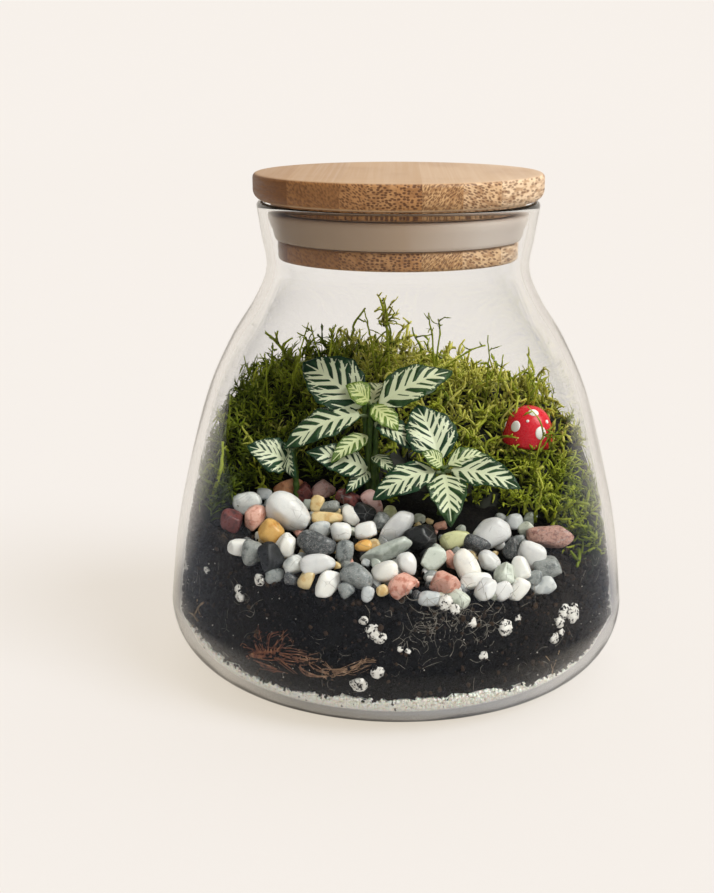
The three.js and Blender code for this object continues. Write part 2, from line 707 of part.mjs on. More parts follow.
// One bent, three-sided shoot, from a root sunk in the moss to a point.
function shoot(root, direction, bend, length, width) {
  const middle = root.clone().addScaledVector(direction, length * 0.55);
  const tip = middle.clone().addScaledVector(bend, length * 0.45);
  const across = new THREE.Vector3(direction.z, 0, -direction.x).normalize();
  const other = new THREE.Vector3().crossVectors(direction, across);
  const position = [];
  for (const [centre, radius] of [
    [root, width],
    [middle, width * 0.7],
  ])
    for (let k = 0; k < 3; k++) {
      const angle = (k * 2 * Math.PI) / 3;
      position.push(
        ...centre
          .clone()
          .addScaledVector(across, radius * Math.cos(angle))
          .addScaledVector(other, radius * Math.sin(angle))
          .toArray(),
      );
    }
  position.push(...tip.toArray());
  const index = [0, 2, 1];
  for (let k = 0; k < 3; k++) {
    const next = (k + 1) % 3;
    index.push(k, next, 3 + next, k, 3 + next, 3 + k, 3 + k, 3 + next, 6);
  }
  return solidOf(
    new THREE.BufferGeometry()
      .setAttribute("position", new THREE.Float32BufferAttribute(position, 3))
      .setIndex(index),
  );
}

// The shoots of one clump, at places drawn by chance wherever the moss is thick enough to root them.
function clumpShoots(low, high, count, random) {
  const left = Math.max(low, -SHOOT_HALF);
  const right = Math.min(high, SHOOT_HALF);
  const shoots = [];
  while (shoots.length < count) {
    const x = left + (right - left) * random();
    const y = SHOOT_FRONT + SHOOT_DEPTH * random();
    const z = mossHeight(x, y);
    const [bendX, bendY, size, thick] = [random(), random(), random(), random()];
    const ring = SHOOT_RING - SHOOT_TAPER * Math.max(0, z - SHOOT_TAPER_FROM);
    const seam = Math.min(x - low, high - x) < MOSS_SEAM;
    if (z < soilHeight(x, y) + 2 * SHOOT_ROOT || Math.hypot(x, y) > ring || seam) continue;
    const root = new THREE.Vector3(x, y, z - SHOOT_ROOT);
    const direction = new THREE.Vector3(bendX - 0.5, bendY - 0.6, 1.1).normalize();
    const bend = new THREE.Vector3(bendY - 0.5, bendX - 0.5, 0.9).normalize();
    const length = size > SHOOT_TALL ? 16 + 8 * thick : 6 + 4 * size;
    shoots.push(shoot(root, direction, bend, length, 0.75 + 0.35 * thick));
  }
  return shoots;
}

function makeMoss(cavity, soilLifted, clear) {
  const carpet = terrain(mossHeight, MOSS_HALF, MOSS_CELLS, MOSS_UNDER);
  return MOSS_CLUMPS.map(([name, low, high, count], n) => {
    const shoots = clumpShoots(low, high, count, seeded(101 + n));
    const share = box([low + GAP / 2, -JAR_BOX, MOSS_UNDER], [high - GAP / 2, JAR_BOX, CAVITY_TOP]);
    const grown = join([carpet, ...shoots]).intersect(share).intersect(cavity);
    return [name, largest(cut(grown, [soilLifted, ...clear]))];
  });
}

// ---------------------------------------------------------------- materials and assembly

const finish = (color, roughness, extra = {}) =>
  new THREE.MeshStandardMaterial({ color, roughness, metalness: 0, ...extra });
const glass = finish(0xeef2f0, 0.05, { transparent: true, opacity: 0.3 });
const bamboo = finish(0xb88a58, 0.55);
const silicone = finish(0xcfc8bf, 0.4);
const sand = finish(0xe9e5dd, 0.9);
const soil = finish(0x231e1a, 0.95);
const grit = finish(0x8f8f88, 0.6);
const leafGreen = finish(0x2f6b3a, 0.5);
const mossGreen = finish(0x5f7a1e, 0.8);
const capRed = finish(0xc8202b, 0.25);
const stalkWhite = finish(0xe6e2cf, 0.6);

const cavity = makeCavity();
const ground = terrain(soilHeight, SOIL_HALF, SOIL_CELLS, SAND_TOP + GAP);
const lifted = terrain((x, y) => soilHeight(x, y) + GAP, SOIL_HALF, SOIL_CELLS, SAND_TOP);
const plantSpace = PLANTS.map((each) => plant(each, LEAF_GAP));
const stemSpace = PLANTS.map(stemHole);
const toadstoolSpace = [toadstoolCap(LEAF_GAP), toadstoolStalk(LEAF_GAP)];

const terrarium = new THREE.Group();
terrarium.name = "terrarium";
const add = (name, solid, material) => terrarium.add(meshOf(name, solid, material));

add("glass_jar", makeJar(), glass);
add("lid_disc", makeLidDisc(), bamboo);
add("lid_plug", makeLidPlug(), bamboo);
add("lid_seal", makeSeal(), silicone);
const sandBox = box([-JAR_BOX, -JAR_BOX, 0], [JAR_BOX, JAR_BOX, SAND_TOP]);
add("sand_layer", cavity.intersect(sandBox), sand);
add("potting_soil", largest(cut(ground.intersect(cavity), [...stemSpace, ...toadstoolSpace])), soil);

const { bed, nodes } = makePebbles(cavity, lifted, plantSpace);
add("pebble_bed", bed, grit);
for (const [name, solid, colour] of nodes) add(name, solid, finish(COLOURS[colour], 0.35));

const plants = PLANTS.map((each) => plant(each, 0));
PLANTS.forEach(({ name }, i) => add(name, cut(plants[i], plantSpace.slice(0, i)), leafGreen));
add("toadstool_cap", toadstoolCap(0), capRed);
add("toadstool_stalk", toadstoolStalk(0), stalkWhite);
const mossClear = [...plantSpace, ...toadstoolSpace, block(BED_EDGE, BED_UNDER, CAVITY_TOP)];
for (const [name, solid] of makeMoss(cavity, lifted, mossClear)) add(name, solid, mossGreen);

export default terrarium;
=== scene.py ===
import itertools
import math

import bmesh
import bpy
import numpy as np
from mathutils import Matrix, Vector


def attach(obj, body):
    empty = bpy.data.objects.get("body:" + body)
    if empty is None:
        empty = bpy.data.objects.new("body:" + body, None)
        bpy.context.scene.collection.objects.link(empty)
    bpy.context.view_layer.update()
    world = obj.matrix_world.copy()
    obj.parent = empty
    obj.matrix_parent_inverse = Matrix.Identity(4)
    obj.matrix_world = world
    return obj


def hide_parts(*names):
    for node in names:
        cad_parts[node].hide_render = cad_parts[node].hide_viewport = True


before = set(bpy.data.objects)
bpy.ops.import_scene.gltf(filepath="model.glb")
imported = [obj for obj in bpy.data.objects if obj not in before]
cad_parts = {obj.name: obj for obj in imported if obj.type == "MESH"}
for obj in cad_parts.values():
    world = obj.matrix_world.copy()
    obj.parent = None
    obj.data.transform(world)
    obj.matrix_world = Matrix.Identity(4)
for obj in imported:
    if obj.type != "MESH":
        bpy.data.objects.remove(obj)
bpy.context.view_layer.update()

MM = 0.001
BODY = "root"
FLATTENED = 0.0001  # a height as a share of itself, where a shade goes by the level distance
TURN = 2 * math.pi
TINY = 1e-9
ASKEW = (0.31, 0.83, 0.47)  # a direction that no tube starts in
SEEDS = {
    "crumbs": 7, "sand": 21, "soil": 41, "perlite": 61, "roots": 62,
    "pebbles": 5, "fillers": 77, "stone": 200, "leaf": 900,
    "shoots": 101, "single strands": 71, "grass": 72, "stars": 300, "strings": 400, "tall": 500,
}

# ------------------------------------------------------------------ the jar's shape

GAP = 0.3  # clearance between the contents and the glass
GLASS_CLEAR = 0.15  # how far small things stay off the glass
WALL = 2.8
FLOOR = 3.0
FOOT_RADIUS = 53.0
CORNER_RADIUS = 22.0
JAR_HEIGHT = 151.7
RIM_ROUND = 1.4
# Outside of the wall as radius and height, from its widest place to the mouth.
WALL_LINE = [
    (75, 22), (72.6, 44), (68.6, 64), (61.6, 90), (53.6, 108),
    (45.8, 120.5), (41.8, 130.5), (43.2, 141), (44.6, 150),
]
JAR_AROUND = 192
CORNER_STEPS = 14
RIM_STEPS = 12
WALL_STEPS = 72
WALL_NEAR = 0.002  # how far to both sides the wall's direction is taken, as a share of its length

LID_RADIUS = 45.7
LID_UNDER = 152.0
LID_TOP = 160.4
PLUG_BOTTOM = 134.3
PLUG_RADIUS = 38.1
PLUG_SHELF_RADIUS = 40.2
GROOVE_RADIUS = 35.5
SEAL_BOTTOM = 140.3
SEAL_TOP = 148.8
SEAL_RADIUS = 41.1

SAND_TOP = 13.4

# ------------------------------------------------------------------ the ground's shape

GLASS_INSIDE = 70.0
FRONT_LINE = 43.5
FRONT_TILT = -0.09
FRONT_CURVE = 0.0008
SLOPE_RISE = 37.0
SLOPE_LENGTH = 95.0
BANK_RISE = 14.0
BANK_FRONT = -12.0
BANK_LENGTH = 40.0
BED_DEPTH = 2.0
BED_GROOVE = 2.5
BED_GROOVE_WIDE = 7.0
BED_SIDE = 51.0
BED_BACK = -17.0
BED_STEP = 6.0
BED_STEP_FROM = -22.0
BED_STEP_OVER = 20.0
BED_SKIRT = 6.0

# Pebbles: x, y, how much deeper than the slope it lies, length, width, turn in degrees as seen from the
# front, stone, and the node that it stands for if it has one of its own.
PEBBLES = [
    (-46, -28.5, 0, 9, 7.5, 20, "pale"),
    (-43.5, -37, 0, 9.5, 7, 70, "pink", "pebble_pink"),
    (-50, -36.5, 0, 8, 6.5, 80, "maroon"),
    (-32.5, -37, 0, 15, 11, -30, "white", "pebble_white_large"),
    (-37.5, -44, 0, 7.5, 7.5, -40, "amber", "pebble_amber"),
    (-34.5, -20, 0, 11, 5.5, 15, "brown", "pebble_brown"),
    (-29, -22, 0, 6.5, 6, 60, "maroon"),
    (-23, -19.5, 0, 10, 6, 20, "mauve", "pebble_mauve"),
    (-41.5, -22, 0, 5, 4, 0, "pale"),
    (-24.5, -27.5, 0, 6, 4.5, 75, "ochre"),
    (-14.5, -24, 0, 9.5, 5, -20, "maroon"),
    (-7, -26.5, 0, 10, 6, -50, "mauve"),
    (-9.5, -33, 0, 8, 7, -40, "black"),
    (-20.5, -28.5, 0, 6.5, 4, 15, "grey"),
    (-21, -34.5, 0, 10, 4.5, 0, "ochre"),
    (-14, -34, 0, 7, 5.5, -65, "white"),
    (-16.5, -43, 0, 6.5, 6, 0, "white"),
    (-9, -42, 0, 7, 6, 10, "white"),
    (-23, -41.5, 0, 7, 5, 10, "pale"),
    (0, -39.5, 0, 13.5, 7, 45, "white", "pebble_white_long"),
    (-23.5, -50.5, 0, 12.5, 8, -10, "charcoal", "pebble_charcoal"),
    (-15, -52.5, 0, 8, 5.5, 80, "grey"),
    (-9.5, -47.5, 0, 5.5, 4, 10, "amber"),
    (-3, -51.5, -0.5, 17, 5.5, 25, "sage", "pebble_sage_long"),
    (-46.5, -46.5, 1.5, 7, 5.5, 0, "white"),
    (-42.5, -50, 1.5, 8, 6, 80, "grey"),
    (-36.5, -54, 1, 8.5, 8, -60, "black", "pebble_black_left"),
    (-32.5, -50, 0, 7.5, 6.5, 60, "white"),
    (-29.5, -57.5, 0.5, 6.5, 5.5, 30, "pale"),
    (-22.5, -58.5, 0, 10.5, 6.5, 10, "white", "pebble_white_oval"),
    (-19.5, -63, 2.5, 9, 6.5, 65, "white", "pebble_white_front"),
    (-25.5, -61, 2, 6.5, 5, 70, "ochre"),
    (-35, -56.5, 4, 6, 4.5, 10, "grey"),
    (-30, -60, 2.5, 4.5, 4.5, 0, "charcoal"),
    (-11, -63.5, 0, 10, 7, -30, "grey", "pebble_grey_front"),
    (-14, -65, 2, 5, 5, 20, "grey"),
    (-3, -60.5, 0, 8, 6.5, 10, "white"),
    (3.5, -55.5, 0, 7.5, 6, -60, "white"),
    (-8, -66, 2, 5, 4, 80, "pale"),
    (-3.5, -65.5, 0.5, 4, 3.5, 30, "ochre"),
    (2.5, -64.5, 1, 9.5, 7.5, 40, "salmon", "pebble_salmon_left"),
    (-4.5, -35, 0, 6, 5, 60, "grey"),
    (-1.5, -30, 0, 5, 5, 0, "olive"),
    (7.5, -44, 0, 11, 8, 15, "black", "pebble_black_right"),
    (18, -40.5, 0, 10, 5.5, 20, "olive", "pebble_yellow"),
    (11, -52.5, 0, 8.5, 7.5, 20, "sage", "pebble_sage"),
    (16, -50.5, 0, 7.5, 4, -75, "salmon"),
    (24.5, -42, 0, 8.5, 5.5, -25, "charcoal"),
    (29, -37.5, 0, 12.5, 10, 10, "white", "pebble_white_round"),
    (21, -54, 0, 10.5, 7.5, -60, "white", "pebble_white_tall"),
    (28, -48.5, 0, 7.5, 6, -20, "white"),
    (35, -41, 0, 7.5, 6, -60, "charcoal", "pebble_grey_drop"),
    (37, -26, 0, 6, 5.5, 20, "pale"),
    (33, -24, 0, 4, 3.5, 0, "grey"),
    (42.5, -22.5, 0, 5.5, 4.5, 70, "sage"),
    (40.5, -28, 0, 5, 4.5, 40, "sage"),
    (47.5, -31, 0, 14.5, 7.5, 0, "granite", "pebble_granite"),
    (41, -43, 0, 9, 8, -25, "white"),
    (45, -46, 0.5, 8, 7.5, 20, "grey"),
    (32.5, -53.5, 0, 7.5, 7, 10, "sage"),
    (37, -49.5, 0, 8, 6, -70, "white"),
    (41, -50.5, 0.5, 5, 5, 0, "grey"),
    (26, -61, 0.5, 7.5, 6, 60, "white"),
    (23.5, -58, 0, 9.5, 5, 10, "white"),
    (31, -58.5, 1.5, 6.5, 5.5, 30, "white"),
    (36, -55.5, 2, 7.5, 5.5, 60, "white"),
    (44, -49.5, 3, 7, 5.5, 25, "pale"),
    (14, -62, 0, 9.5, 7.5, 10, "salmon", "pebble_salmon_right"),
    (18, -63.5, 3, 7.5, 5.5, -40, "sage"),
    (10, -66, 1.5, 7, 4.5, 0, "pale"),
]
PEBBLE_SINK = 0.7
PEBBLE_TILT = math.radians(24)

# ------------------------------------------------------------------ the plants' shape

LEAF_THICKNESS = 0.4
LEAF_ARCH = 0.11
PETIOLE = 0.12
LEAF_GRID = 0.23  # distance between a leaf's points
# Plants: node, stem radius, stem points, and leaves as place on the stem, tip, half width, face and youth.
PLANTS = [
    (
        "nerve_plant_main",
        2.4,
        [(-7.5, -17, 58), (-7.8, -16.5, 72), (-8.5, -14.5, 89)],
        [
            (0.86, (-30, -7, 101), 9, (0.3, -0.9, 0.35), 0),
            (0.86, (-35, -27, 78), 6.2, (-0.1, -0.55, 0.85), 0.05),
            (0.88, (17.5, -9, 99), 6.6, (-0.15, -0.75, 0.65), 0.1),
            (0.8, (5.5, -27, 78), 4.6, (0.3, -0.6, 0.75), 0),
            (0.98, (-15.5, -17, 95.5), 4.2, (0.3, -0.7, 0.6), 0.85),
            (0.97, (0.5, -23, 82.5), 4.1, (0.1, -0.6, 0.8), 0.75),
            (0.7, (-20, -29, 74), 3.4, (0.1, -0.6, 0.8), 0.5),
            (0.34, (-27.5, -27, 76.5), 5.2, (-0.1, -0.8, 0.6), 0),
            (0.5, (-1, -27, 70), 3, (0.1, -0.5, 0.85), 0.1),
            (0.36, (-15.5, -27, 63.5), 2.8, (0, -0.7, 0.7), 0),
            (0.9, (-4, 4, 92), 4.4, (0, 0.2, 0.95), 0.3),
        ],
    ),
    (
        "nerve_plant_left",
        1.1,
        [(-31, -23, 57), (-31.5, -22.5, 67), (-32.3, -21.5, 77)],
        [
            (0.62, (-45.5, -28, 78.5), 5.8, (0.35, -0.75, 0.55), 0),
            (0.97, (-31.4, -33, 70), 3.4, (-0.85, -0.4, 0.35), 0),
        ],
    ),
    (
        "nerve_plant_right",
        1.2,
        [(14, -26, 56), (14.3, -26.5, 65), (14.5, -28, 72)],
        [
            (0.92, (6.5, -16, 89), 8.2, (0.2, -0.85, 0.45), 0),
            (0.86, (-7, -39, 65.5), 6.1, (-0.1, -0.55, 0.85), 0),
            (0.84, (16.5, -49, 61), 6, (0, -0.55, 0.85), 0.1),
            (0.88, (37.5, -38, 69), 6, (0.1, -0.6, 0.8), 0.05),
            (0.97, (28.5, -25, 75.5), 3.9, (-0.1, -0.6, 0.8), 0.3),
            (1.0, (8, -32, 78), 3, (0.2, -0.75, 0.65), 0.5),
        ],
    ),
]

TOADSTOOL = (43.3, 3.0)
CAP_RIM = 71.5
CAP_RADIUS = 8.4
CAP_HEIGHT = 12.0
CAP_LIFT = 0.8  # how much higher the dome starts than the cap's own foot
CAP_BLUNT = 0.8  # below 1, so that the dome is blunter than a ball
CAP_LEAN = math.radians(6)
STALK_RADIUS = 2.4

# ------------------------------------------------------------------ meshes


def rng(name, more=0):
    """The random numbers of one kind of thing, the same in every run."""
    return np.random.default_rng(SEEDS[name] + more)


def hang(name, data):
    """A new object in the scene, with its mesh, lamp or camera."""
    made = bpy.data.objects.new(name, data)
    bpy.context.scene.collection.objects.link(made)
    return made


def make_piece(name, points, faces, materials, face_material=None, **attributes):
    """A mesh object from points in millimetres and one array of triangles or quads, or a list of them."""
    groups = [np.asarray(g, np.int32) for g in (faces if isinstance(faces, list) else [faces])]
    corners = np.concatenate([g.ravel() for g in groups])
    sizes = np.concatenate([np.full(len(g), g.shape[1]) for g in groups])
    starts = np.concatenate([[0], np.cumsum(sizes)[:-1]]).astype(np.int32)
    mesh = bpy.data.meshes.new(name)
    mesh.vertices.add(len(points))
    mesh.vertices.foreach_set("co", (np.asarray(points, float) * MM).astype(np.float32).ravel())
    mesh.loops.add(len(corners))
    mesh.loops.foreach_set("vertex_index", corners)
    mesh.polygons.add(len(sizes))
    mesh.polygons.foreach_set("loop_start", starts)
    mesh.polygons.foreach_set("use_smooth", np.full(len(sizes), True))
    for material in materials if isinstance(materials, list) else [materials]:
        mesh.materials.append(material)
    if face_material is not None:
        mesh.polygons.foreach_set("material_index", np.asarray(face_material, np.int32))
    mesh.update(calc_edges=True)
    mesh.validate()
    for key, values in attributes.items():
        layer = mesh.attributes.new(key, "FLOAT", "POINT")
        layer.data.foreach_set("value", np.asarray(values, np.float32))
    return hang(name, mesh)


def settle(piece, slot, *nodes):
    """The piece rides on the object's one body and stands for the nodes, which are hidden; the slot is not
    used.
    """
    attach(piece, BODY)
    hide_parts(*nodes)
    return piece


def dress(name, parts, material, slot, *nodes):
    """One piece made from parts, settled."""
    points, triangles, values = gather(parts)
    return settle(make_piece(name, points, triangles, material, **values), slot, *nodes)


def smoothstep(t):
    t = np.clip(t, 0, 1)
    return t * t * (3 - 2 * t)


def unit(v):
    """A vector, or each row of many, with the length 1."""
    v = np.asarray(v, float)
    return v / (np.linalg.norm(v, axis=-1, keepdims=True) + TINY)


def curve_point(stops, t):
    """A point of the smooth curve through some stops, each of them at a whole number."""
    spans = len(stops) - 1
    at = min(int(t), spans - 1)
    u = t - at
    p0, p1, p2, p3 = (np.array(stops[min(max(at + k, 0), spans)], float) for k in (-1, 0, 1, 2))
    square = 2 * p0 - 5 * p1 + 4 * p2 - p3
    cube = 3 * p1 - p0 - 3 * p2 + p3
    return 0.5 * (2 * p1 + (p2 - p0) * u + square * u**2 + cube * u**3)


def spline_points(stops, count):
    """Points along the smooth curve through some stops."""
    return np.array([curve_point(stops, t) for t in np.linspace(0, len(stops) - 1, count)])


def spin(angle, reach, z):
    """Points at angles round the axis, at a distance from it and at a height."""
    return np.stack([reach * np.cos(angle), reach * np.sin(angle), z + 0 * angle], -1)


def band(low, high):
    """Quads between two rings of point numbers."""
    return np.stack([low, np.roll(low, -1), np.roll(high, -1), high], axis=1)


def fan(ring, tip):
    """Triangles between a ring of point numbers and one more point."""
    return np.stack([ring, np.roll(ring, -1), np.full(len(ring), tip)], axis=1)


def ring_faces(count, sides, first_tip, last_tip):
    """Faces of a body of rings that follow each other, closed with a point at each end."""
    rings = np.arange(count * sides).reshape(count, sides)
    quads = np.concatenate([band(low, high) for low, high in zip(rings, rings[1:])])
    return [quads, np.concatenate([fan(rings[0], first_tip)[:, ::-1], fan(rings[-1], last_tip)])]


def lump_noise(points, size, seed=0):
    """Smooth noise from -1 to 1 at each point, with lumps of about that size."""
    q = np.asarray(points, float) / size + 1000.0
    base = np.floor(q).astype(np.int64)
    share = q - base
    share = share * share * (3 - 2 * share)
    total = np.zeros(len(q))
    for corner in itertools.product((0, 1), repeat=3):
        c = base + corner
        h = (c[:, 0] * 73856093) ^ (c[:, 1] * 19349663) ^ (c[:, 2] * 83492791) ^ (seed * 2654435761)
        h = ((h & 0xFFFFFFFF) ^ ((h & 0xFFFFFFFF) >> 13)) * 1274126177 & 0xFFFFFFFF
        value = ((h ^ (h >> 16)) & 0xFFFF) / 32767.5 - 1
        total += value * np.prod(np.where(corner, share, 1 - share), axis=1)
    return total


def lathe_grid(profile, around):
    """Points and faces of a profile of (radius, height) turned round the axis."""
    angles = np.arange(around) / around * TURN
    points = []
    rows = []
    for radius, height in profile:
        if radius < TINY:
            rows.append(np.array([len(points)]))
            points.append((0, 0, height))
            continue
        rows.append(len(points) + np.arange(around))
        points.extend(spin(angles, radius, height))
    quads = []
    triangles = []
    for low, high in zip(rows, rows[1:]):
        if len(low) == 1:
            triangles.append(fan(high, low[0])[:, ::-1])
        elif len(high) == 1:
            triangles.append(fan(low, high[0]))
        else:
            quads.append(band(low, high))
    return np.array(points), [np.concatenate(group) for group in (quads, triangles) if group]


def tube_grid(path, radii, sides):
    """A closed tube along a path of points, with a radius at each, as points and triangles."""
    path = np.asarray(path, float)
    along = unit(np.gradient(path, axis=0))
    across = np.cross(along[0], ASKEW)
    angles = (np.arange(sides) / sides * TURN)[:, None]
    rings = []
    for centre, direction, radius in zip(path, along, radii):
        across = unit(across - direction * np.dot(across, direction))
        other = np.cross(direction, across)
        rings.append(centre + radius * (np.cos(angles) * across + np.sin(angles) * other))
    points = np.concatenate(rings + [path[:1], path[-1:]])
    count = len(path)
    return points, to_triangles(ring_faces(count, sides, count * sides, count * sides + 1))


def to_triangles(faces):
    """The same faces, all as triangles."""
    out = []
    for group in faces:
        out += [group[:, [0, 1, 2]], group[:, [0, 2, 3]]] if group.shape[1] == 4 else [group]
    return np.concatenate(out)


def gather(parts):
    """Joins parts of (points, triangles, values) into one set; values is a dict of arrays for each point."""
    points = []
    triangles = []
    values = {key: [] for key in parts[0][2]}
    count = 0
    for part_points, part_triangles, part_values in parts:
        points.append(part_points)
        triangles.append(np.asarray(part_triangles) + count)
        count += len(part_points)
        for key, value in part_values.items():
            values[key].append(np.broadcast_to(value, len(part_points)))
    values = {key: np.concatenate(value) for key, value in values.items()}
    return np.concatenate(points), np.concatenate(triangles), values


def random_turns(random, count):
    """Random rotation matrices."""
    w, x, y, z = unit(random.normal(size=(count, 4))).T
    rows = [
        (1 - 2 * (y * y + z * z), 2 * (x * y - z * w), 2 * (x * z + y * w)),
        (2 * (x * y + z * w), 1 - 2 * (x * x + z * z), 2 * (y * z - x * w)),
        (2 * (x * z - y * w), 2 * (y * z + x * w), 1 - 2 * (x * x + y * y)),
    ]
    return np.array(rows).transpose(2, 0, 1)


def place_copies(shape, triangles, places, turns, sizes):
    """Copies of one shape at many places, as points and triangles."""
    turned = np.einsum("nij,pj->npi", turns, shape) * np.asarray(sizes)[:, None, None]
    points = (turned + places[:, None, :]).reshape(-1, 3)
    shifts = (np.arange(len(places)) * len(shape))[:, None, None]
    return points, (triangles[None] + shifts).reshape(-1, 3)


def icosphere(level):
    """Points and triangles of a unit ball."""
    ball = bmesh.new()
    bmesh.ops.create_icosphere(ball, subdivisions=level, radius=1)
    points = np.array([v.co for v in ball.verts])
    triangles = np.array([[v.index for v in f.verts] for f in ball.faces])
    ball.free()
    return points, triangles


# ------------------------------------------------------------------ shader nodes


class NodeTree:
    """Short names for a tree's nodes. An input may be a socket, to be linked, or a constant."""

    def __init__(self, tree):
        self.nodes = tree.nodes
        self.links = tree.links

    def fill(self, socket, value):
        """Links or sets a socket. Colours may come without their alpha."""
        if isinstance(value, bpy.types.NodeSocket):
            self.links.new(value, socket)
        elif socket.type == "RGBA" and len(value) == 3:
            socket.default_value = (*value, 1)
        else:
            socket.default_value = value

    def node(self, kind, inputs=None, **settings):
        made = self.nodes.new("ShaderNode" + kind)
        for key, value in settings.items():
            setattr(made, key, value)
        for key, value in (inputs or {}).items():
            self.fill(made.inputs[key], value)
        return made

    def place(self, stretch=(1, 1, 1)):
        """The point of the object, in millimetres, stretched."""
        where = self.node("TexCoord").outputs["Object"]
        scale = [s / MM for s in stretch]
        return self.node("Mapping", {"Vector": where, "Scale": scale}).outputs["Vector"]

    def axis(self, number, vector=None):
        """One coordinate of a vector, or else of the place."""
        vector = self.place() if vector is None else vector
        return self.node("SeparateXYZ", {"Vector": vector}).outputs[number]

    def value(self, name):
        return self.node("Attribute", attribute_name=name).outputs["Fac"]

    def noise(self, size, detail=3.0, stretch=(1, 1, 1), roughness=0.55):
        inputs = {"Vector": self.place(stretch), "Scale": 1 / size, "Detail": detail, "Roughness": roughness}
        return self.node("TexNoise", inputs).outputs["Fac"]

    def cells(self, size, stretch=(1, 1, 1), feature="F1", output="Distance"):
        inputs = {"Vector": self.place(stretch), "Scale": 1 / size}
        return self.node("TexVoronoi", inputs, feature=feature).outputs[output]

    def ramp(self, value, *stops):
        """A ramp of linear colours, each with its place."""
        made = self.node("ValToRGB", {"Fac": value})
        band = made.color_ramp
        while len(band.elements) < len(stops):
            band.elements.new(0.5)
        for element, (place, *colour) in zip(band.elements, stops):
            element.position = place
            element.color = (*colour, 1)
        return made.outputs["Color"]

    def shades(self, value, *stops):
        """A ramp of colours given as they show on a screen, each with its place."""
        return self.ramp(value, *((place, *srgb(*colour)) for place, *colour in stops))

    def step(self, value, low, high, out_low=0.0, out_high=1.0):
        """A smooth step between two values."""
        inputs = {"Value": value, "From Min": low, "From Max": high, "To Min": out_low, "To Max": out_high}
        return self.node("MapRange", inputs, interpolation_type="SMOOTHSTEP").outputs["Result"]

    def math(self, operation, a, b=0.0):
        return self.node("Math", {0: a, 1: b}, operation=operation).outputs["Value"]

    def times(self, a, b):
        return self.math("MULTIPLY", a, b)

    def plus(self, a, b):
        return self.math("ADD", a, b)

    def minus(self, a, b):
        return self.math("SUBTRACT", a, b)

    def mix(self, share, a, b, blend="MIX"):
        """A blend of two colours. The numbers are those of the node's colour sockets."""
        return self.node("Mix", {0: share, 6: a, 7: b}, data_type="RGBA", blend_type=blend).outputs[2]


class Shader(NodeTree):
    """A material with one Principled shader, and what feeds it."""

    def __init__(self, name, **constants):
        self.material = bpy.data.materials.new(name)
        self.material.use_nodes = True
        super().__init__(self.material.node_tree)
        self.surface = self.nodes["Principled BSDF"]
        for key, value in constants.items():
            self.feed(key.replace("_", " "), value)

    def feed(self, socket, value):
        self.fill(self.surface.inputs[socket], value)

    def colour(self, value):
        self.feed("Base Color", value)

    def bump(self, height, distance, strength=1.0):
        inputs = {"Height": height, "Distance": distance * MM, "Strength": strength}
        self.feed("Normal", self.node("Bump", inputs).outputs["Normal"])

    def blend_in(self, share, other):
        """Mixes another shader's output with the material's own."""
        both = self.node("MixShader", {"Fac": share, 1: self.surface.outputs["BSDF"], 2: other})
        self.links.new(both.outputs["Shader"], self.nodes["Material Output"].inputs["Surface"])

    def translucent(self, colour, share):
        """Lets some of the light through, as a thin leaf does."""
        self.blend_in(share, self.node("BsdfTranslucent", {"Color": colour}).outputs["BSDF"])


def srgb(red, green, blue):
    """A colour given as it shows on a screen, from 0 to 255, as the linear light that shaders take."""
    shares = (c / 255 for c in (red, green, blue))
    return tuple(c / 12.92 if c <= 0.04045 else ((c + 0.055) / 1.055) ** 2.4 for c in shares)


# ------------------------------------------------------------------ stage, light and camera

# The floor runs from its front edge to its back edge, where it bends up into the backdrop.
STAGE_HALF = 6000
STAGE_FRONT = -2500
STAGE_BACK = 5000
STAGE_RISE = 3600
STAGE_BEND = 3000
STAGE_BEND_STEPS = 32
STAGE_DROP = 0.2  # the floor lies this much below the foot, so that the two faces stay apart
STAGE_GRAIN = 0.985  # tone of the paint's darker patches
# The floor glows in part, so that it looks even; the rest is lit, and goes missing in the shadow.
STAGE_PAINT = (0.19, 0.21, 0.255)
STAGE_GLOW = (0.66, 0.584, 0.477)
# What a ray finds before the jar after one reflection, and after several, as in the glass's thick edges.
MIRRORED_SHARE = 0.03
EDGE_SHARE = 1.1
# Where the dark part of the room and of the floor begins and is whole, as the sine of the angle backwards.
ROOM_EDGE = (0.88, 0.54)
FLOOR_EDGE = (0.7, 0.28)
# A painted shadow under the jar: how much of its glow the floor keeps there, and from which to which radius
# it comes back.
UNDER_GLOW = 0.85
UNDER_JAR = (48, 82)
NEAR_FLOOR = (95, 150)  # from which to which radius the floor becomes dark in reflections
NEAR_FRONT = (-0.5, -0.95, 0.4, 0.74)  # how dark it still is near the jar, from its sides to its front
WORLD_DIM = 0.2
WORLD_BRIGHT = 0.9
WORLD_BRIGHT_SIDE = (0.7, -0.25, 0.65)
WORLD_COLOUR = (1.0, 0.985, 0.965)
BOUNCE_SHARE = 0.88  # how much of the floor's glow lights the other pieces
# Suns: name, direction, power, softness in degrees and colour.
SUNS = [
    ("key", (0.9, -0.45, 1.12), 2.6, 30, (1, 0.985, 0.96)),
    ("back", (0.3, 0.8, 0.9), 0.4, 60, (1, 1, 1)),
]
CAMERA_PLACE = (0, -450, 194)
CAMERA_PITCH = 15.3  # degrees below the horizon
CAMERA_YAW = 1.65  # degrees to the left
CAMERA_LENS = 56.9


def mirror_shade(tree, before):
    """The share of light that a reflected ray misses in a place that lies before the jar, like the dark far
    side of a photographer's room. Rays that are reflected again, in the glass's edges, find it bright."""
    depth = tree.node("LightPath").outputs["Glossy Depth"]
    once = tree.times(tree.math("GREATER_THAN", depth, 0.5), 1 - MIRRORED_SHARE)
    again = tree.times(tree.math("GREATER_THAN", depth, 1.5), EDGE_SHARE - MIRRORED_SHARE)
    return tree.times(tree.minus(once, again), before)


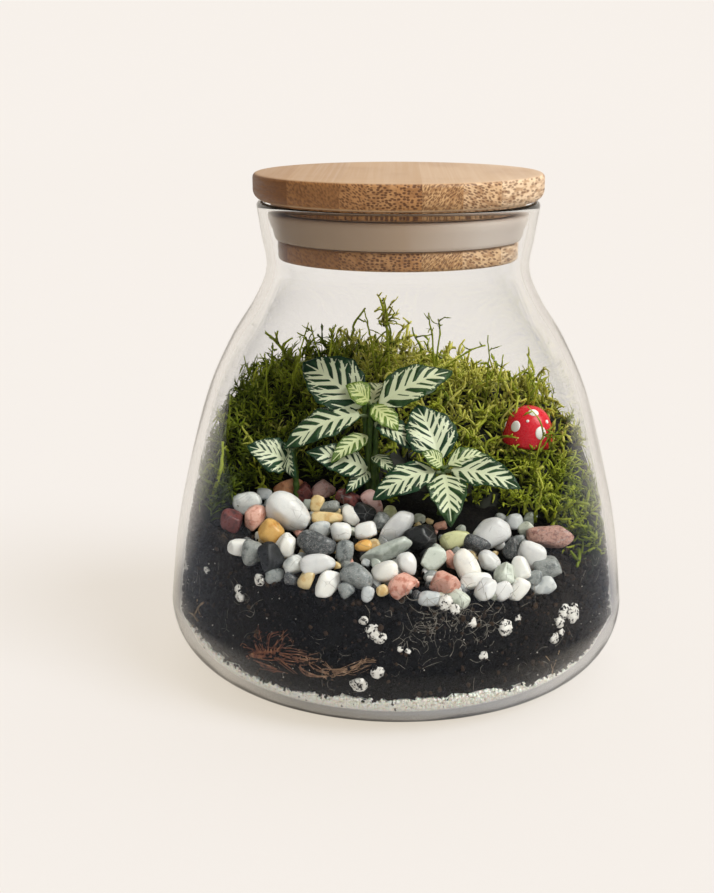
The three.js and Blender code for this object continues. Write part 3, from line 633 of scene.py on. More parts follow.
def stage_material():
    """Paint and glow, with a painted shadow where the glow fades under the jar, and with the floor's shading
    in its reflections.
    """
    shader = Shader("stage", Roughness=1.0, Specular_IOR_Level=0.0, Emission_Color=STAGE_GLOW)
    grain = tuple(STAGE_GRAIN * c for c in STAGE_PAINT)
    shader.colour(shader.mix(shader.noise(60.0, 2.0), STAGE_PAINT, grain))
    level = (1, 1, FLATTENED)
    aim = shader.node("VectorMath", {0: shader.place(level)}, operation="NORMALIZE").outputs["Vector"]
    reach = shader.node("VectorMath", {0: shader.place(level)}, operation="LENGTH").outputs["Value"]
    y = shader.axis(1, aim)
    near = shader.step(reach, *NEAR_FLOOR, shader.step(y, *NEAR_FRONT), 1.0)
    shade = mirror_shade(shader, shader.times(shader.step(y, *FLOOR_EDGE), near))
    bounce = shader.node("LightPath").outputs["Is Diffuse Ray"]
    lost = shader.plus(shade, shader.times(bounce, 1 - BOUNCE_SHARE))
    # Painted shadow: the floor's glow fades under the jar.
    under = shader.step(reach, *UNDER_JAR, UNDER_GLOW, 1.0)
    shader.feed("Emission Strength", shader.times(shader.minus(1.0, lost), under))
    return shader.material


def make_stage():
    """A floor that curves up into a backdrop far behind the jar."""
    bend_from = STAGE_BACK - STAGE_BEND
    line = [(STAGE_FRONT, 0)]
    for angle in np.linspace(0, math.pi / 2, STAGE_BEND_STEPS + 1):
        line.append((bend_from + STAGE_BEND * math.sin(angle), STAGE_BEND * (1 - math.cos(angle))))
    line.append((STAGE_BACK, STAGE_RISE))
    points = [(side * STAGE_HALF, y, z - STAGE_DROP * (z == 0)) for y, z in line for side in (-1, 1)]
    faces = np.array([(2 * i, 2 * i + 1, 2 * i + 3, 2 * i + 2) for i in range(len(line) - 1)])
    make_piece("stage_floor", points, faces, stage_material())


def sun_light(name, direction, power, softness, colour):
    lamp = bpy.data.lights.new(name, "SUN")
    lamp.energy = power
    lamp.angle = math.radians(softness)
    lamp.color = colour
    holder = hang(name, lamp)
    holder.rotation_euler = (-Vector(direction)).to_track_quat("-Z", "Y").to_euler()
    return holder


def make_world():
    """Soft light all round, brighter from the upper right, and dark before the jar in its reflections."""
    world = bpy.data.worlds.new("room")
    world.use_nodes = True
    sky = NodeTree(world.node_tree)
    place = sky.node("TexCoord").outputs["Generated"]
    bright_side = Vector(WORLD_BRIGHT_SIDE).normalized()
    aim = sky.node("VectorMath", {0: place, 1: bright_side}, operation="DOT_PRODUCT").outputs["Value"]
    fade = sky.step(aim, -0.9, 1.0, WORLD_DIM, WORLD_BRIGHT)
    shade = mirror_shade(sky, sky.step(sky.axis(1, place), *ROOM_EDGE))
    background = sky.nodes["Background"].inputs
    sky.fill(background["Strength"], sky.times(fade, sky.minus(1.0, shade)))
    sky.fill(background["Color"], WORLD_COLOUR)
    bpy.context.scene.world = world


def make_light():
    make_world()
    return [sun_light(*row) for row in SUNS]


def keep_off(lamps, piece):
    """Keeps the lamps' own reflections off a piece: they still light all the others, also through it."""
    dark = bpy.data.collections.new("unlit")
    dark.objects.link(piece)
    dark.collection_objects[0].light_linking.link_state = "EXCLUDE"
    for lamp in lamps:
        lamp.light_linking.receiver_collection = dark


def make_camera():
    data = bpy.data.cameras.new("camera")
    data.sensor_fit = "AUTO"
    data.sensor_width = 36
    data.lens = CAMERA_LENS
    data.clip_start = 0.01
    data.clip_end = 50
    holder = hang("camera", data)
    holder.location = Vector(CAMERA_PLACE) * MM
    holder.rotation_euler = (math.radians(90 - CAMERA_PITCH), 0, math.radians(CAMERA_YAW))
    bpy.context.scene.camera = holder


def set_colours():
    scene = bpy.context.scene
    scene.view_settings.view_transform = "Standard"
    scene.view_settings.look = "None"
    scene.cycles.transparent_max_bounces = 16
    scene.cycles.max_bounces = 14
    scene.cycles.transmission_bounces = 12
    scene.cycles.caustics_refractive = False
    scene.cycles.caustics_reflective = False


# ------------------------------------------------------------------ glass jar


def wall_point(t):
    """A point on the outside of the wall, from the widest place at 0 to the mouth at 1."""
    return curve_point(WALL_LINE, min(max(t, 0), 1) * (len(WALL_LINE) - 1))


def wall_line(inset):
    """The wall's line at a distance inside its outer face, from the foot's corner up to the mouth."""
    line = []
    for i in range(CORNER_STEPS):
        angle = i / CORNER_STEPS * math.pi / 2
        reach = CORNER_RADIUS - inset
        line.append((FOOT_RADIUS + reach * math.sin(angle), CORNER_RADIUS - reach * math.cos(angle)))
    for i in range(WALL_STEPS + 1):
        t = i / WALL_STEPS
        along = unit(wall_point(t + WALL_NEAR) - wall_point(t - WALL_NEAR))
        line.append(tuple(wall_point(t) + inset * np.array([-along[1], along[0]])))
    return [p for p in line if p[1] < JAR_HEIGHT - RIM_ROUND]


def bowl_line(inset):
    """The inside of the jar, with its thicker base."""
    lift = FLOOR - WALL
    return [(r, max(z, z + lift * (1 - z / CORNER_RADIUS))) for r, z in wall_line(inset)]


INNER = np.array(bowl_line(WALL))


def inside_radius(height):
    """Radius of the inside of the glass at a height."""
    return np.interp(height, INNER[:, 1], INNER[:, 0])


def keep_inside(points, clearance):
    """Moves what would reach into the glass back towards the axis."""
    reach = np.hypot(points[:, 0], points[:, 1]) + TINY
    limit = inside_radius(points[:, 2]) - clearance
    points[:, :2] *= np.minimum(1, limit / reach)[:, None]
    return points


def inside_parts(parts, clearance):
    return [(keep_inside(points, clearance), faces, values) for points, faces, values in parts]


def glass_material():
    """Clear, slightly wavy glass that lets light through to what stands in it and behind it."""
    shader = Shader("jar_glass", Roughness=0.0, IOR=1.43, Transmission_Weight=1.0)
    shader.colour((0.998, 1.0, 0.998))
    shader.bump(shader.noise(26.0, 1.0, (1, 1, 0.5)), 0.25, 0.5)
    clear = shader.node("BsdfTransparent", {"Color": (0.96, 0.97, 0.965)}).outputs["BSDF"]
    path = shader.node("LightPath").outputs
    shader.blend_in(shader.math("MAXIMUM", path["Is Shadow Ray"], path["Is Diffuse Ray"]), clear)
    return shader.material


def make_jar():
    outside = wall_line(0)
    inside = bowl_line(WALL)
    lip_out = outside[-1][0]
    lip_in = inside[-1][0]
    middle = (lip_out + lip_in) / 2
    half = (lip_out - lip_in) / 2
    rim = []
    for angle in np.linspace(0, math.pi, RIM_STEPS + 1)[1:-1]:
        rim.append((middle + half * math.cos(angle), JAR_HEIGHT - RIM_ROUND + RIM_ROUND * math.sin(angle)))
    foot = [(0, 0), (FOOT_RADIUS - 12, 0), (FOOT_RADIUS - 1, 0)]
    bottom = [(inside[0][0] - 8, FLOOR), (0, FLOOR)]
    points, faces = lathe_grid(foot + outside + rim + inside[::-1] + bottom, JAR_AROUND)
    return settle(make_piece("jar", points, faces, glass_material()), "glass", "glass_jar")


# ------------------------------------------------------------------ lid and seal


# Strips that the bamboo is glued from, as they show on its front: where each ends along X, its tone, how
# strongly its pores show, which way its grain runs in degrees, and how much longer than high the grain is.
# The tones rise
# from left to right: partly the strips' own colour, partly painted shade at the left and painted light at the
# right.
BAMBOO_STRIPS = [
    (-33, 0.15, 0.35, 0, 3.4),
    (-17, 0.35, 0.7, -48, 2.8),
    (-9, 0.5, 0.9, -36, 2.0),
    (-0.4, 0.55, 1.0, 0, 1.7),
    (6.5, 0.5, 1.0, 0, 1.5),
    (18.6, 0.75, 0.8, 52, 3.0),
    (30, 0.85, 0.8, -24, 1.8),
    (99, 1.0, 0.7, 0, 1.6),
]
BAMBOO_HALF = 46.0
EDGE_STEPS = 7
LID_ROUND_UNDER = 3.4
LID_ROUND_OVER = 1.5
PLUG_EDGE = 0.6
# The columns of the strips, with a number that none in the column goes beyond.
STRIP_COLUMNS = {"tone": (1, 1.0), "pores": (2, 1.0), "turn": (3, 90.0), "stretch": (4, 4.0)}


def strip_value(shader, x, name):
    """A number of the strip that a point lies in."""
    column, most = STRIP_COLUMNS[name]
    stops = []
    start = 0.0
    for row in BAMBOO_STRIPS:
        share = 0.5 + 0.5 * row[column] / most
        stops.append((start, share, share, share))
        start = (row[0] + BAMBOO_HALF) / (2 * BAMBOO_HALF)
    made = shader.ramp(shader.times(shader.plus(x, BAMBOO_HALF), 0.5 / BAMBOO_HALF), *stops)
    made.node.color_ramp.interpolation = "CONSTANT"
    return shader.times(shader.minus(made, 0.5), 2.0 * most)


def bamboo_material():
    """Strips of bamboo: pores and slanting grain on the upright faces, calm blotches on the flat ones. The
    upright faces range further than the flat ones, with painted shade at the left and painted light at the
    right.
    """
    shader = Shader("bamboo")
    x, y, z = (shader.axis(k) for k in range(3))
    tone, strength, turn, stretch = (strip_value(shader, x, name) for name in STRIP_COLUMNS)
    angle = shader.times(turn, math.pi / 180)
    c, s = shader.math("COSINE", angle), shader.math("SINE", angle)
    u = shader.plus(shader.times(x, c), shader.times(z, s))
    v = shader.times(shader.minus(shader.times(z, c), shader.times(x, s)), stretch)
    flow = shader.node("CombineXYZ", {"X": u, "Y": shader.times(y, 0.02), "Z": v}).outputs["Vector"]
    streaks = shader.node("TexNoise", {"Vector": flow, "Scale": 0.45, "Detail": 4.0}).outputs["Fac"]
    spots = shader.node("TexVoronoi", {"Vector": flow, "Scale": 0.78, "Randomness": 0.7}).outputs["Distance"]
    blotch = shader.noise(11.0, 3.0, (0.6, 0.25, 1))
    flat = shader.shades(tone, (0.1, 172, 136, 100), (0.5, 186, 152, 116), (1.0, 202, 172, 140))
    flat = shader.mix(shader.step(blotch, 0.4, 0.75, 0.0, 0.4), flat, srgb(162, 122, 86))
    # Upright faces: painted shade at the dark end and painted light at the light end, as the key light falls
    # from the right; the middle tones are also lightened against the plug's shade.
    upright_painted_light = [(0.1, 110, 66, 26), (0.45, 174, 121, 68), (0.75, 200, 157, 108), (1.0, 228, 198, 162)]
    upright = shader.shades(tone, *upright_painted_light)
    upright = shader.mix(shader.step(streaks, 0.42, 0.62, 0.0, 0.6), upright, srgb(138, 90, 44))
    pores = shader.times(shader.step(spots, 0.28, 0.5, 1.0, 0.0), strength)
    upright = shader.mix(shader.times(pores, 0.9), upright, srgb(96, 56, 24))
    facing = shader.axis(2, shader.node("NewGeometry").outputs["Normal"])
    side = shader.step(shader.math("ABSOLUTE", facing), 0.92, 0.7)
    shader.colour(shader.mix(side, flat, upright))
    shader.feed("Roughness", shader.step(streaks, 0.2, 0.8, 0.42, 0.6))
    shader.bump(shader.times(shader.minus(shader.times(streaks, 0.4), pores), side), 0.15, 0.6)
    return shader.material


def rounded_disc(radius, low, high, under, over):
    """Profile of a disc whose edge is rounded below and above."""
    angles = np.linspace(0, math.pi / 2, EDGE_STEPS + 1)
    line = [(0, low), (radius * 0.5, low)]
    line += [(radius - under * (1 - math.sin(a)), low + under * (1 - math.cos(a))) for a in angles]
    line += [(radius - over * (1 - math.cos(a)), high - over * (1 - math.sin(a))) for a in angles]
    return line + [(radius * 0.5, high), (0, high)]


def make_lid():
    bamboo = bamboo_material()
    disc = rounded_disc(LID_RADIUS, LID_UNDER, LID_TOP, LID_ROUND_UNDER, LID_ROUND_OVER)
    points, faces = lathe_grid(disc, JAR_AROUND)
    settle(make_piece("lid_top", points, faces, bamboo), "bamboo", "lid_disc")
    edge = PLUG_EDGE
    plug = [
        (0, PLUG_BOTTOM),
        (PLUG_RADIUS - 2 * edge, PLUG_BOTTOM),
        (PLUG_RADIUS - edge, PLUG_BOTTOM + 0.2),
        (PLUG_RADIUS - 0.2, PLUG_BOTTOM + edge),
        (PLUG_RADIUS, PLUG_BOTTOM + 2 * edge),
        (PLUG_RADIUS, SEAL_BOTTOM - GAP - edge),
        (PLUG_RADIUS - edge, SEAL_BOTTOM - GAP),
        (GROOVE_RADIUS, SEAL_BOTTOM - GAP),
        (GROOVE_RADIUS, SEAL_TOP + GAP),
        (PLUG_SHELF_RADIUS - edge, SEAL_TOP + GAP),
        (PLUG_SHELF_RADIUS, SEAL_TOP + GAP + edge),
        (PLUG_SHELF_RADIUS, LID_UNDER - GAP),
        (0, LID_UNDER - GAP),
    ]
    points, faces = lathe_grid(plug, JAR_AROUND)
    piece = settle(make_piece("lid_underside", points, faces, bamboo), "bamboo", "lid_plug")
    keep_creases(piece, 50)


def keep_creases(piece, degrees):
    """Sharpens the edges that turn more than this, and leaves the rest smooth."""
    piece.data.set_sharp_from_angle(angle=math.radians(degrees))


def silicone_material():
    shader = Shader("silicone", Roughness=0.42, IOR=1.41, Subsurface_Weight=0.15)
    shader.feed("Subsurface Radius", (1.0, 0.9, 0.8))
    shader.feed("Subsurface Scale", 3 * MM)
    haze = shader.noise(9.0, 2.0, (1, 1, 0.3))
    # Darker at the left and lighter at the right across X: painted shade and painted light, as the key light
    # falls from the right.
    across = shader.plus(shader.step(shader.axis(0), -40, 40, 0.0, 0.9), shader.times(haze, 0.15))
    shader.colour(shader.shades(across, (0.1, 150, 126, 101), (0.55, 180, 155, 131), (0.9, 206, 193, 182)))
    shader.bump(haze, 0.2, 0.4)
    return shader.material


def make_seal():
    bore = GROOVE_RADIUS + GAP
    line = [(bore, SEAL_BOTTOM), (38.3, SEAL_BOTTOM), (38.8, SEAL_BOTTOM + 0.3)]
    line += [(39.2, SEAL_BOTTOM + 1.2), (39.8, SEAL_TOP - 5), (40.5, SEAL_TOP - 3.4)]
    line += [(SEAL_RADIUS, SEAL_TOP - 1.6), (SEAL_RADIUS, SEAL_TOP - 0.7), (40.7, SEAL_TOP - 0.1)]
    line += [(bore, SEAL_TOP)]
    points, faces = lathe_grid(line, JAR_AROUND)
    first = np.arange(JAR_AROUND)
    closing = band((len(line) - 1) * JAR_AROUND + first, first)
    piece = make_piece("seal_ring", points, faces + [closing], silicone_material())
    keep_creases(settle(piece, "silicone", "lid_seal"), 60)


# ------------------------------------------------------------------ the ground


def behind_glass(x, y):
    """How far a point lies behind the front glass."""
    across = np.minimum(np.abs(x), 0.9 * GLASS_INSIDE)
    return y + np.sqrt(GLASS_INSIDE**2 - across**2)


def slope_height(x, y):
    """Height of the soil without the hollow that the pebbles lie in."""
    foot = FRONT_LINE + FRONT_TILT * x + FRONT_CURVE * x * x
    climb = SLOPE_RISE * (1 - np.exp(-behind_glass(x, y) / SLOPE_LENGTH))
    return foot + climb + BANK_RISE * smoothstep((y - BANK_FRONT) / BANK_LENGTH)


def bed_cover(x, y):
    """1 in the pebble bed and 0 outside it."""
    back = BED_BACK - BED_STEP * smoothstep((x - BED_STEP_FROM) / BED_STEP_OVER)
    return smoothstep((back - y) / BED_SKIRT) * smoothstep((BED_SIDE - np.abs(x)) / BED_SKIRT)


def soil_height(x, y):
    """Height of the soil's surface."""
    groove = BED_GROOVE * np.exp(-((behind_glass(x, y) / BED_GROOVE_WIDE) ** 2))
    return slope_height(x, y) - (BED_DEPTH + groove) * bed_cover(x, y)


GROUND_AROUND = 600
SETTLING_STEPS = 3  # how often a height and the glass's radius there are taken by turns
SAND_EDGE = 1.5  # how far the sand's upper edge wanders up and down
SAND_TEETH = [(0.6, 17.0, 5), (0.4, 4.0, 6), (0.5, 1.7, 7)]  # share, size and seed of the edge's lumps
SAND_RISE = 5.6  # how much higher the sand lies at the left
SAND_RISE_AT = math.radians(-153)
SAND_RISE_OVER = math.radians(20)


def sand_edge(angle):
    """Height of the sand at the glass: a wandering, crumbly edge."""
    around = spin(angle, GLASS_INSIDE, 0)
    turn = np.angle(np.exp(1j * (angle - SAND_RISE_AT)))
    rise = SAND_RISE * np.exp(-((turn / SAND_RISE_OVER) ** 2))
    teeth = sum(share * lump_noise(around, size, seed) for share, size, seed in SAND_TEETH)
    return SAND_TOP + rise + SAND_EDGE * teeth


def sand_height(x, y):
    """Height of the sand's surface: even in the middle, wandering at the glass."""
    x, y = np.atleast_1d(x, y)
    near = smoothstep((np.hypot(x, y) - 30) / 30)
    return SAND_TOP + (sand_edge(np.arctan2(y, x)) - SAND_TOP) * near


def base_height(x, y):
    """Height of the glass floor inside."""
    return FLOOR + GAP + 0 * np.atleast_1d(x)


def polar_body(low, high, wall_rows, top_rows, clearance, rough, seed):
    """A closed body that fills the jar between two heights given as functions of x and y."""
    angle = np.arange(GROUND_AROUND) / GROUND_AROUND * TURN
    around = spin(angle, 1, 0)[:, :2]
    rows = []
    for share in np.linspace(0, 1, wall_rows):
        reach = GLASS_INSIDE * np.ones(GROUND_AROUND)
        for _ in range(SETTLING_STEPS):
            x, y = (around * reach[:, None]).T
            z = low(x, y) + share * (high(x, y) - low(x, y))
            reach = inside_radius(z) - clearance
        points = spin(angle, reach, z)
        dent = 0.5 + 0.5 * lump_noise(points, 3.2, seed) + 0.4 * lump_noise(points, 1.1, seed + 1)
        points[:, :2] *= (1 - np.clip(rough * dent, 0, None) / reach)[:, None]
        rows.append(points)
    rim = rows[-1]
    for share in np.linspace(1, 0, top_rows + 1)[1:-1]:
        x, y = (rim[:, :2] * share).T
        points = np.stack([x, y, high(x, y)], -1)
        points[:, 2] += rough * 0.6 * lump_noise(points, 3.5, seed + 2) - 0.3
        rows.append(points)
    middle = [[0, 0, np.atleast_1d(height(0.0, 0.0))[0]] for height in (high, low)]
    tip = len(rows) * GROUND_AROUND
    return np.concatenate(rows + [middle]), to_triangles(ring_faces(len(rows), GROUND_AROUND, tip + 1, tip))


def crumbs(random, count, places, smallest, larger, power, tints):
    """Parts for many lumpy crumbs of 20 faces. The places and tints are functions of a number of crumbs."""
    ball, triangles = icosphere(1)
    lumps = rng("crumbs")
    parts = []
    for shape in [ball * lumps.uniform(0.6, 1.25, (len(ball), 1)) for _ in range(CRUMB_SHAPES)]:
        some = count // CRUMB_SHAPES
        where, turns = places(some), random_turns(random, some)
        sizes = smallest + larger * random.random(some) ** power
        points, faces = place_copies(shape, triangles, where, turns, sizes)
        parts.append((points, faces, {"tint": np.repeat(tints(some), len(shape))}))
    return parts


def wall_places(random, count, low, high, clearance):
    """Random places on the inside of the glass between two heights, given as functions of the angle."""
    angle = random.uniform(0, TURN, count)
    bottom, top = low(angle), high(angle)
    z = bottom + random.random(count) * (top - bottom)
    return spin(angle, inside_radius(z) - clearance, z)


def soil_at_glass(angle):
    """Height of the soil's surface where it meets the glass."""
    reach = inside_radius(60.0) * np.ones_like(angle)
    for _ in range(SETTLING_STEPS):
        z = soil_height(reach * np.cos(angle), reach * np.sin(angle))
        reach = inside_radius(z) - 1
    return z


def sand_material():
    """White grains with some darker and a few black ones."""
    shader = Shader("white_sand", Roughness=0.75, Subsurface_Weight=0.2, Subsurface_Scale=1.0 * MM)
    white = shader.shades(shader.noise(2.2, 5.0), (0.25, 250, 240, 226), (0.6, 255, 251, 242))
    tone = shader.node("SeparateColor", {"Color": shader.cells(0.55, output="Color")}).outputs[0]
    white = shader.mix(shader.step(tone, 0.9, 0.99, 0.0, 0.35), white, srgb(196, 188, 178))
    shader.colour(shader.mix(shader.step(shader.value("tint"), 0.985, 0.99), white, srgb(60, 50, 42)))
    shader.bump(shader.cells(0.7), 0.25, 0.6)
    return shader.material


SAND_GRAINS = 9000
CRUMB_SHAPES = 6


def make_sand():
    body, faces = polar_body(base_height, sand_height, 18, 12, 0.8, 0.3, 11)
    random = rng("sand")

    def places(count):
        return wall_places(random, count, lambda a: FLOOR + 0.7 + 0 * a, lambda a: sand_edge(a) + 0.3, 0.65)

    grains = inside_parts(crumbs(random, SAND_GRAINS, places, 0.25, 0.35, 1, random.random), GLASS_CLEAR)
    dress("sand", [(body, faces, {"tint": 0.5})] + grains, sand_material(), "sand", "sand_layer")


def soil_material():
    """Dark earth with a few light specks, dusty and dry towards both sides."""
    shader = Shader("potting_soil", Specular_IOR_Level=0.16)
    tint = shader.value("tint")
    mottle = shader.noise(0.9, 6.0, roughness=0.7)
    dark = shader.shades(mottle, (0.3, 4, 3, 3), (0.55, 12, 10, 8), (0.8, 44, 36, 28))
    light = shader.shades(tint, (0.0, 4, 4, 3), (0.75, 20, 16, 12), (0.95, 92, 70, 50))
    aside = shader.math("ABSOLUTE", shader.axis(0))
    dry = shader.times(shader.step(aside, 22, 66), shader.step(shader.noise(14.0, 3.0), 0.2, 0.65, 0.5, 1.0))
    earth = shader.mix(shader.times(dry, 0.18), shader.mix(0.5, dark, light), srgb(98, 82, 62))
    shader.colour(shader.mix(shader.step(tint, 0.985, 0.995), earth, srgb(206, 198, 186)))
    shader.feed("Roughness", shader.step(mottle, 0.3, 0.7, 0.85, 0.5))
    shader.bump(shader.noise(0.45, 5.0), 0.4, 1.0)
    return shader.material


WALL_CRUMBS = 6200
TOP_CRUMBS = 2400
SOIL_SPECKS = 240
CRUMB_CLEAR = 0.2  # how far the crumbs stay off the glass
DARK_CRUMB = 0.97  # the highest tint of a crumb that is not a light speck
SOIL_TOP_DEPTH = 0.24  # how far in from the glass the crumbs on top lie, as a share of the radius


def top_places(random, count):
    """Random places on the soil's surface between the front glass and the pebbles."""
    angle = random.uniform(math.radians(-172), math.radians(-8), count)
    reach = (inside_radius(soil_at_glass(angle)) - 1.2) * (1 - SOIL_TOP_DEPTH * random.random(count) ** 1.4)
    places = spin(angle, reach, 0)
    places[:, 2] = soil_height(places[:, 0], places[:, 1]) + random.uniform(-0.4, 0.5, count)
    return places


def make_soil():
    material = soil_material()
    body, faces = polar_body(lambda x, y: sand_height(x, y) - 0.3, soil_height, 56, 56, 0.9, 1.1, 31)
    tint = 0.35 + 0.3 * lump_noise(body, 2.4, 34)
    dress("soil", [(body, faces, {"tint": tint})], material, "soil", "potting_soil")
    random = rng("soil")

    def at_wall(count):
        edges = (lambda a: sand_edge(a) - 0.8, lambda a: soil_at_glass(a) - 0.2)
        return wall_places(random, count, *edges, 0.95)

    def on_top(count):
        return top_places(random, count)

    def dark(count):
        return random.random(count) * DARK_CRUMB

    parts = crumbs(random, WALL_CRUMBS, at_wall, 0.25, 0.7, 3, dark)
    parts += crumbs(random, TOP_CRUMBS, on_top, 0.35, 1.0, 2, dark)
    parts += crumbs(random, SOIL_SPECKS, at_wall, 0.1, 0.16, 1, np.ones)
    dress("soil_crumbs", inside_parts(parts, CRUMB_CLEAR), material, "soil", "potting_soil")


# What lies in the soil against the glass. Places are degrees round from the front, to the right, and heights.

# Lumps of perlite: place, height, radius.
PERLITE = [
    (-41.8, 40.2, 1.5), (-41.4, 38, 1.6), (-35.3, 44.8, 2), (-5, 34.2, 2.3), (-3.4, 32.6, 1.9),
    (-8.2, 18.4, 2.6), (-4.1, 22.4, 2.1), (1.3, 29.6, 0.9), (-7.4, 37.9, 1.3), (18.6, 36.2, 1.5),
    (27, 32.9, 2.4), (21.2, 25.8, 1.4), (46, 33, 2.6), (49.5, 31.2, 2.9), (44, 30.2, 1.9), (42, 26, 1.6),
    (44.2, 27.2, 1.1), (30.8, 35.4, 1), (3.1, 29, 0.8), (12, 42.6, 2.2), (14.4, 40.6, 1.5),
    (-55.6, 41.5, 1.1), (75, 24, 2.2), (98, 36, 2.4), (121, 21, 1.8), (150, 40, 2.6), (178, 30, 2),
    (-150, 24, 2.4), (-126, 44, 1.9), (-104, 30, 2.5), (-84, 22, 1.9), (-72, 37, 2.2), (134, 52, 2),
    (-168, 50, 2.2),
]
PERLITE_FLAT = 0.62  # thickness towards the glass, as a share of the width

# A dry root: each strand's places and heights, and its radius.
ROOT_STRANDS = [
    ([(-38, 20.5), (-34, 23), (-30, 24.2), (-26, 24), (-21, 24.3), (-18, 25)], 0.55),
    ([(-36, 20.8), (-31, 22.6), (-25, 22.8), (-21, 23.6)], 0.45),
    ([(-33.5, 22.5), (-36, 26.5), (-33.8, 29.5)], 0.35),
    ([(-32.5, 22.8), (-34.4, 27), (-34.2, 30)], 0.28),
    ([(-31.5, 23.5), (-31, 29), (-28.5, 31)], 0.32),
    ([(-30.5, 23.5), (-28, 27), (-27.5, 31.5)], 0.35),
    ([(-29.5, 24.5), (-27, 28), (-25.5, 29)], 0.25),
    ([(-24, 24), (-21.5, 20.5), (-15.5, 19.5), (-13.5, 21.5), (-17, 23.5)], 0.42),
    ([(-17, 22), (-11, 23), (-7.5, 25.5), (-4.6, 25.9)], 0.4),
    ([(-14, 21), (-9, 24), (-6.5, 26.5)], 0.32),
    ([(-13.5, 21.5), (-9.5, 22), (-6, 24.5)], 0.25),
    ([(-30, 23.5), (-24, 19.5)], 0.38),
    ([(-35, 20), (-29, 19.3)], 0.4),
    ([(-34, 19.2), (-30, 18.4), (-27, 18.8)], 0.3),
    ([(-29, 25), (-25, 25.8), (-20, 26)], 0.32),
    ([(-21, 24), (-19, 21.5), (-15, 20.5)], 0.36),
    ([(-39, 23), (-36.5, 23.5), (-34, 22.5)], 0.25),
]
# Other dry bits: twigs and scraps of leaf.
TWIG_STRANDS = [
    ([(38.8, 21.4), (40.5, 19), (42, 15.7)], 0.32),
    ([(43.4, 21.6), (42.6, 19), (42, 15.7)], 0.3),
    ([(42, 16.5), (43.2, 13.5), (44.2, 12)], 0.42),
    ([(-56, 31), (-58.5, 28.5), (-60.5, 25)], 0.7),
    ([(-57, 26), (-59, 27.8), (-60, 31)], 0.6),
    ([(-58.5, 24), (-61.5, 24.6), (-64.5, 24)], 0.75),
    ([(-62, 20.5), (-64, 19.2)], 0.6),
]
STRAND_POINTS = 16
HAIRS = 340
HAIR_NEST = (13.0, 36.0, 7.0)  # where many hairs lie: place, height, spread


def at_glass(place, height, clearance):
    """Points just inside the glass, from degrees round from the front and heights."""
    height = np.asarray(height, float)
    return spin(np.radians(np.asarray(place, float) - 90), inside_radius(height) - clearance, height)


def perlite_material():
    """Chalky white, with dark pits."""
    shader = Shader("perlite", Roughness=0.8)
    pits = shader.step(shader.noise(1.1, 4.0), 0.53, 0.6)
    white = shader.shades(shader.noise(1.2, 3.0), (0.3, 206, 200, 190), (0.65, 240, 237, 230))
    shader.colour(shader.mix(pits, white, srgb(34, 27, 22)))
    shader.bump(shader.minus(shader.noise(0.5, 4.0), pits), 0.3, 0.8)
    return shader.material


def make_perlite():
    ball, triangles = icosphere(3)
    random = rng("perlite")
    parts = []
    for place, height, radius in PERLITE:
        lump = ball * (1 + 0.3 * lump_noise(ball + random.uniform(0, 40, 3), 0.7, 3))[:, None]
        lump *= (1 + 0.14 * lump_noise(ball + random.uniform(0, 40, 3), 0.3, 4))[:, None]
        out = spin(math.radians(place - 90), 1, 0)
        lump = radius * (lump - (1 - PERLITE_FLAT) * np.outer(lump @ out, out))
        parts.append((lump + at_glass(place, height, 0.4 + 0.45 * radius), triangles, {}))
    dress("perlite", inside_parts(parts, GLASS_CLEAR), perlite_material(), "pebble_white", "potting_soil")


def bark_material(name, dark, light):
    shader = Shader(name, Roughness=0.75)
    shader.colour(shader.shades(shader.noise(2.4, 4.0), (0.3, *dark), (0.7, *light)))
    shader.bump(shader.noise(0.5, 3.0), 0.1, 0.7)
    return shader.material


def root_material():
    """Reddish at the left, where the root is thick, and pale towards its thin end."""
    shader = Shader("dry_root", Roughness=0.75)
    fibre = shader.noise(1.6, 4.0)
    red = shader.shades(fibre, (0.3, 74, 38, 26), (0.55, 140, 84, 56), (0.75, 196, 142, 100))
    pale = shader.shades(fibre, (0.3, 98, 72, 52), (0.55, 160, 126, 96), (0.75, 210, 184, 154))
    shader.colour(shader.mix(shader.step(shader.axis(0), -36, -14), red, pale))
    shader.bump(shader.noise(0.5, 3.0), 0.1, 0.7)
    return shader.material


def wall_strands(random, rows, copies, spread):
    """Tubes that follow rows of places along the glass, each with some thinner ones beside it."""
    parts = []
    count = STRAND_POINTS
    for stops, radius in rows:
        for copy in range(copies):
            stray = random.normal(0, spread, (len(stops), 2)) * (copy > 0)
            line = spline_points(np.array(stops, float) + stray, count)
            path = at_glass(line[:, 0], line[:, 1], 0.75 + 0.3 * random.random())
            radii = radius * (0.364 if copy else 0.52) * np.linspace(1, 0.45, count)
            parts.append((*tube_grid(path, radii * random.uniform(0.75, 1.2, count), 6), {}))
    return inside_parts(parts, GLASS_CLEAR)


def hair_rows(random):
    """Places and radii of short, fine root hairs: a third of them in one nest, the others all round."""
    rows = []
    for k in range(HAIRS):
        nest = k < HAIRS // 3
        place = HAIR_NEST[0] + random.normal(0, HAIR_NEST[2]) if nest else random.uniform(-180, 180)
        height = HAIR_NEST[1] + random.normal(0, 0.7 * HAIR_NEST[2]) if nest else random.uniform(17, 46)
        turn, bend, length = random.uniform(0, TURN), random.normal(0, 0.8), random.uniform(1.0, 2.6)
        stops = [(place, height)]
        for _ in range(3):
            place += 0.8 * length * math.cos(turn)
            height += length * math.sin(turn)
            turn += bend
            stops.append((place, height))
        rows.append((stops, random.uniform(0.09, 0.17)))
    return rows


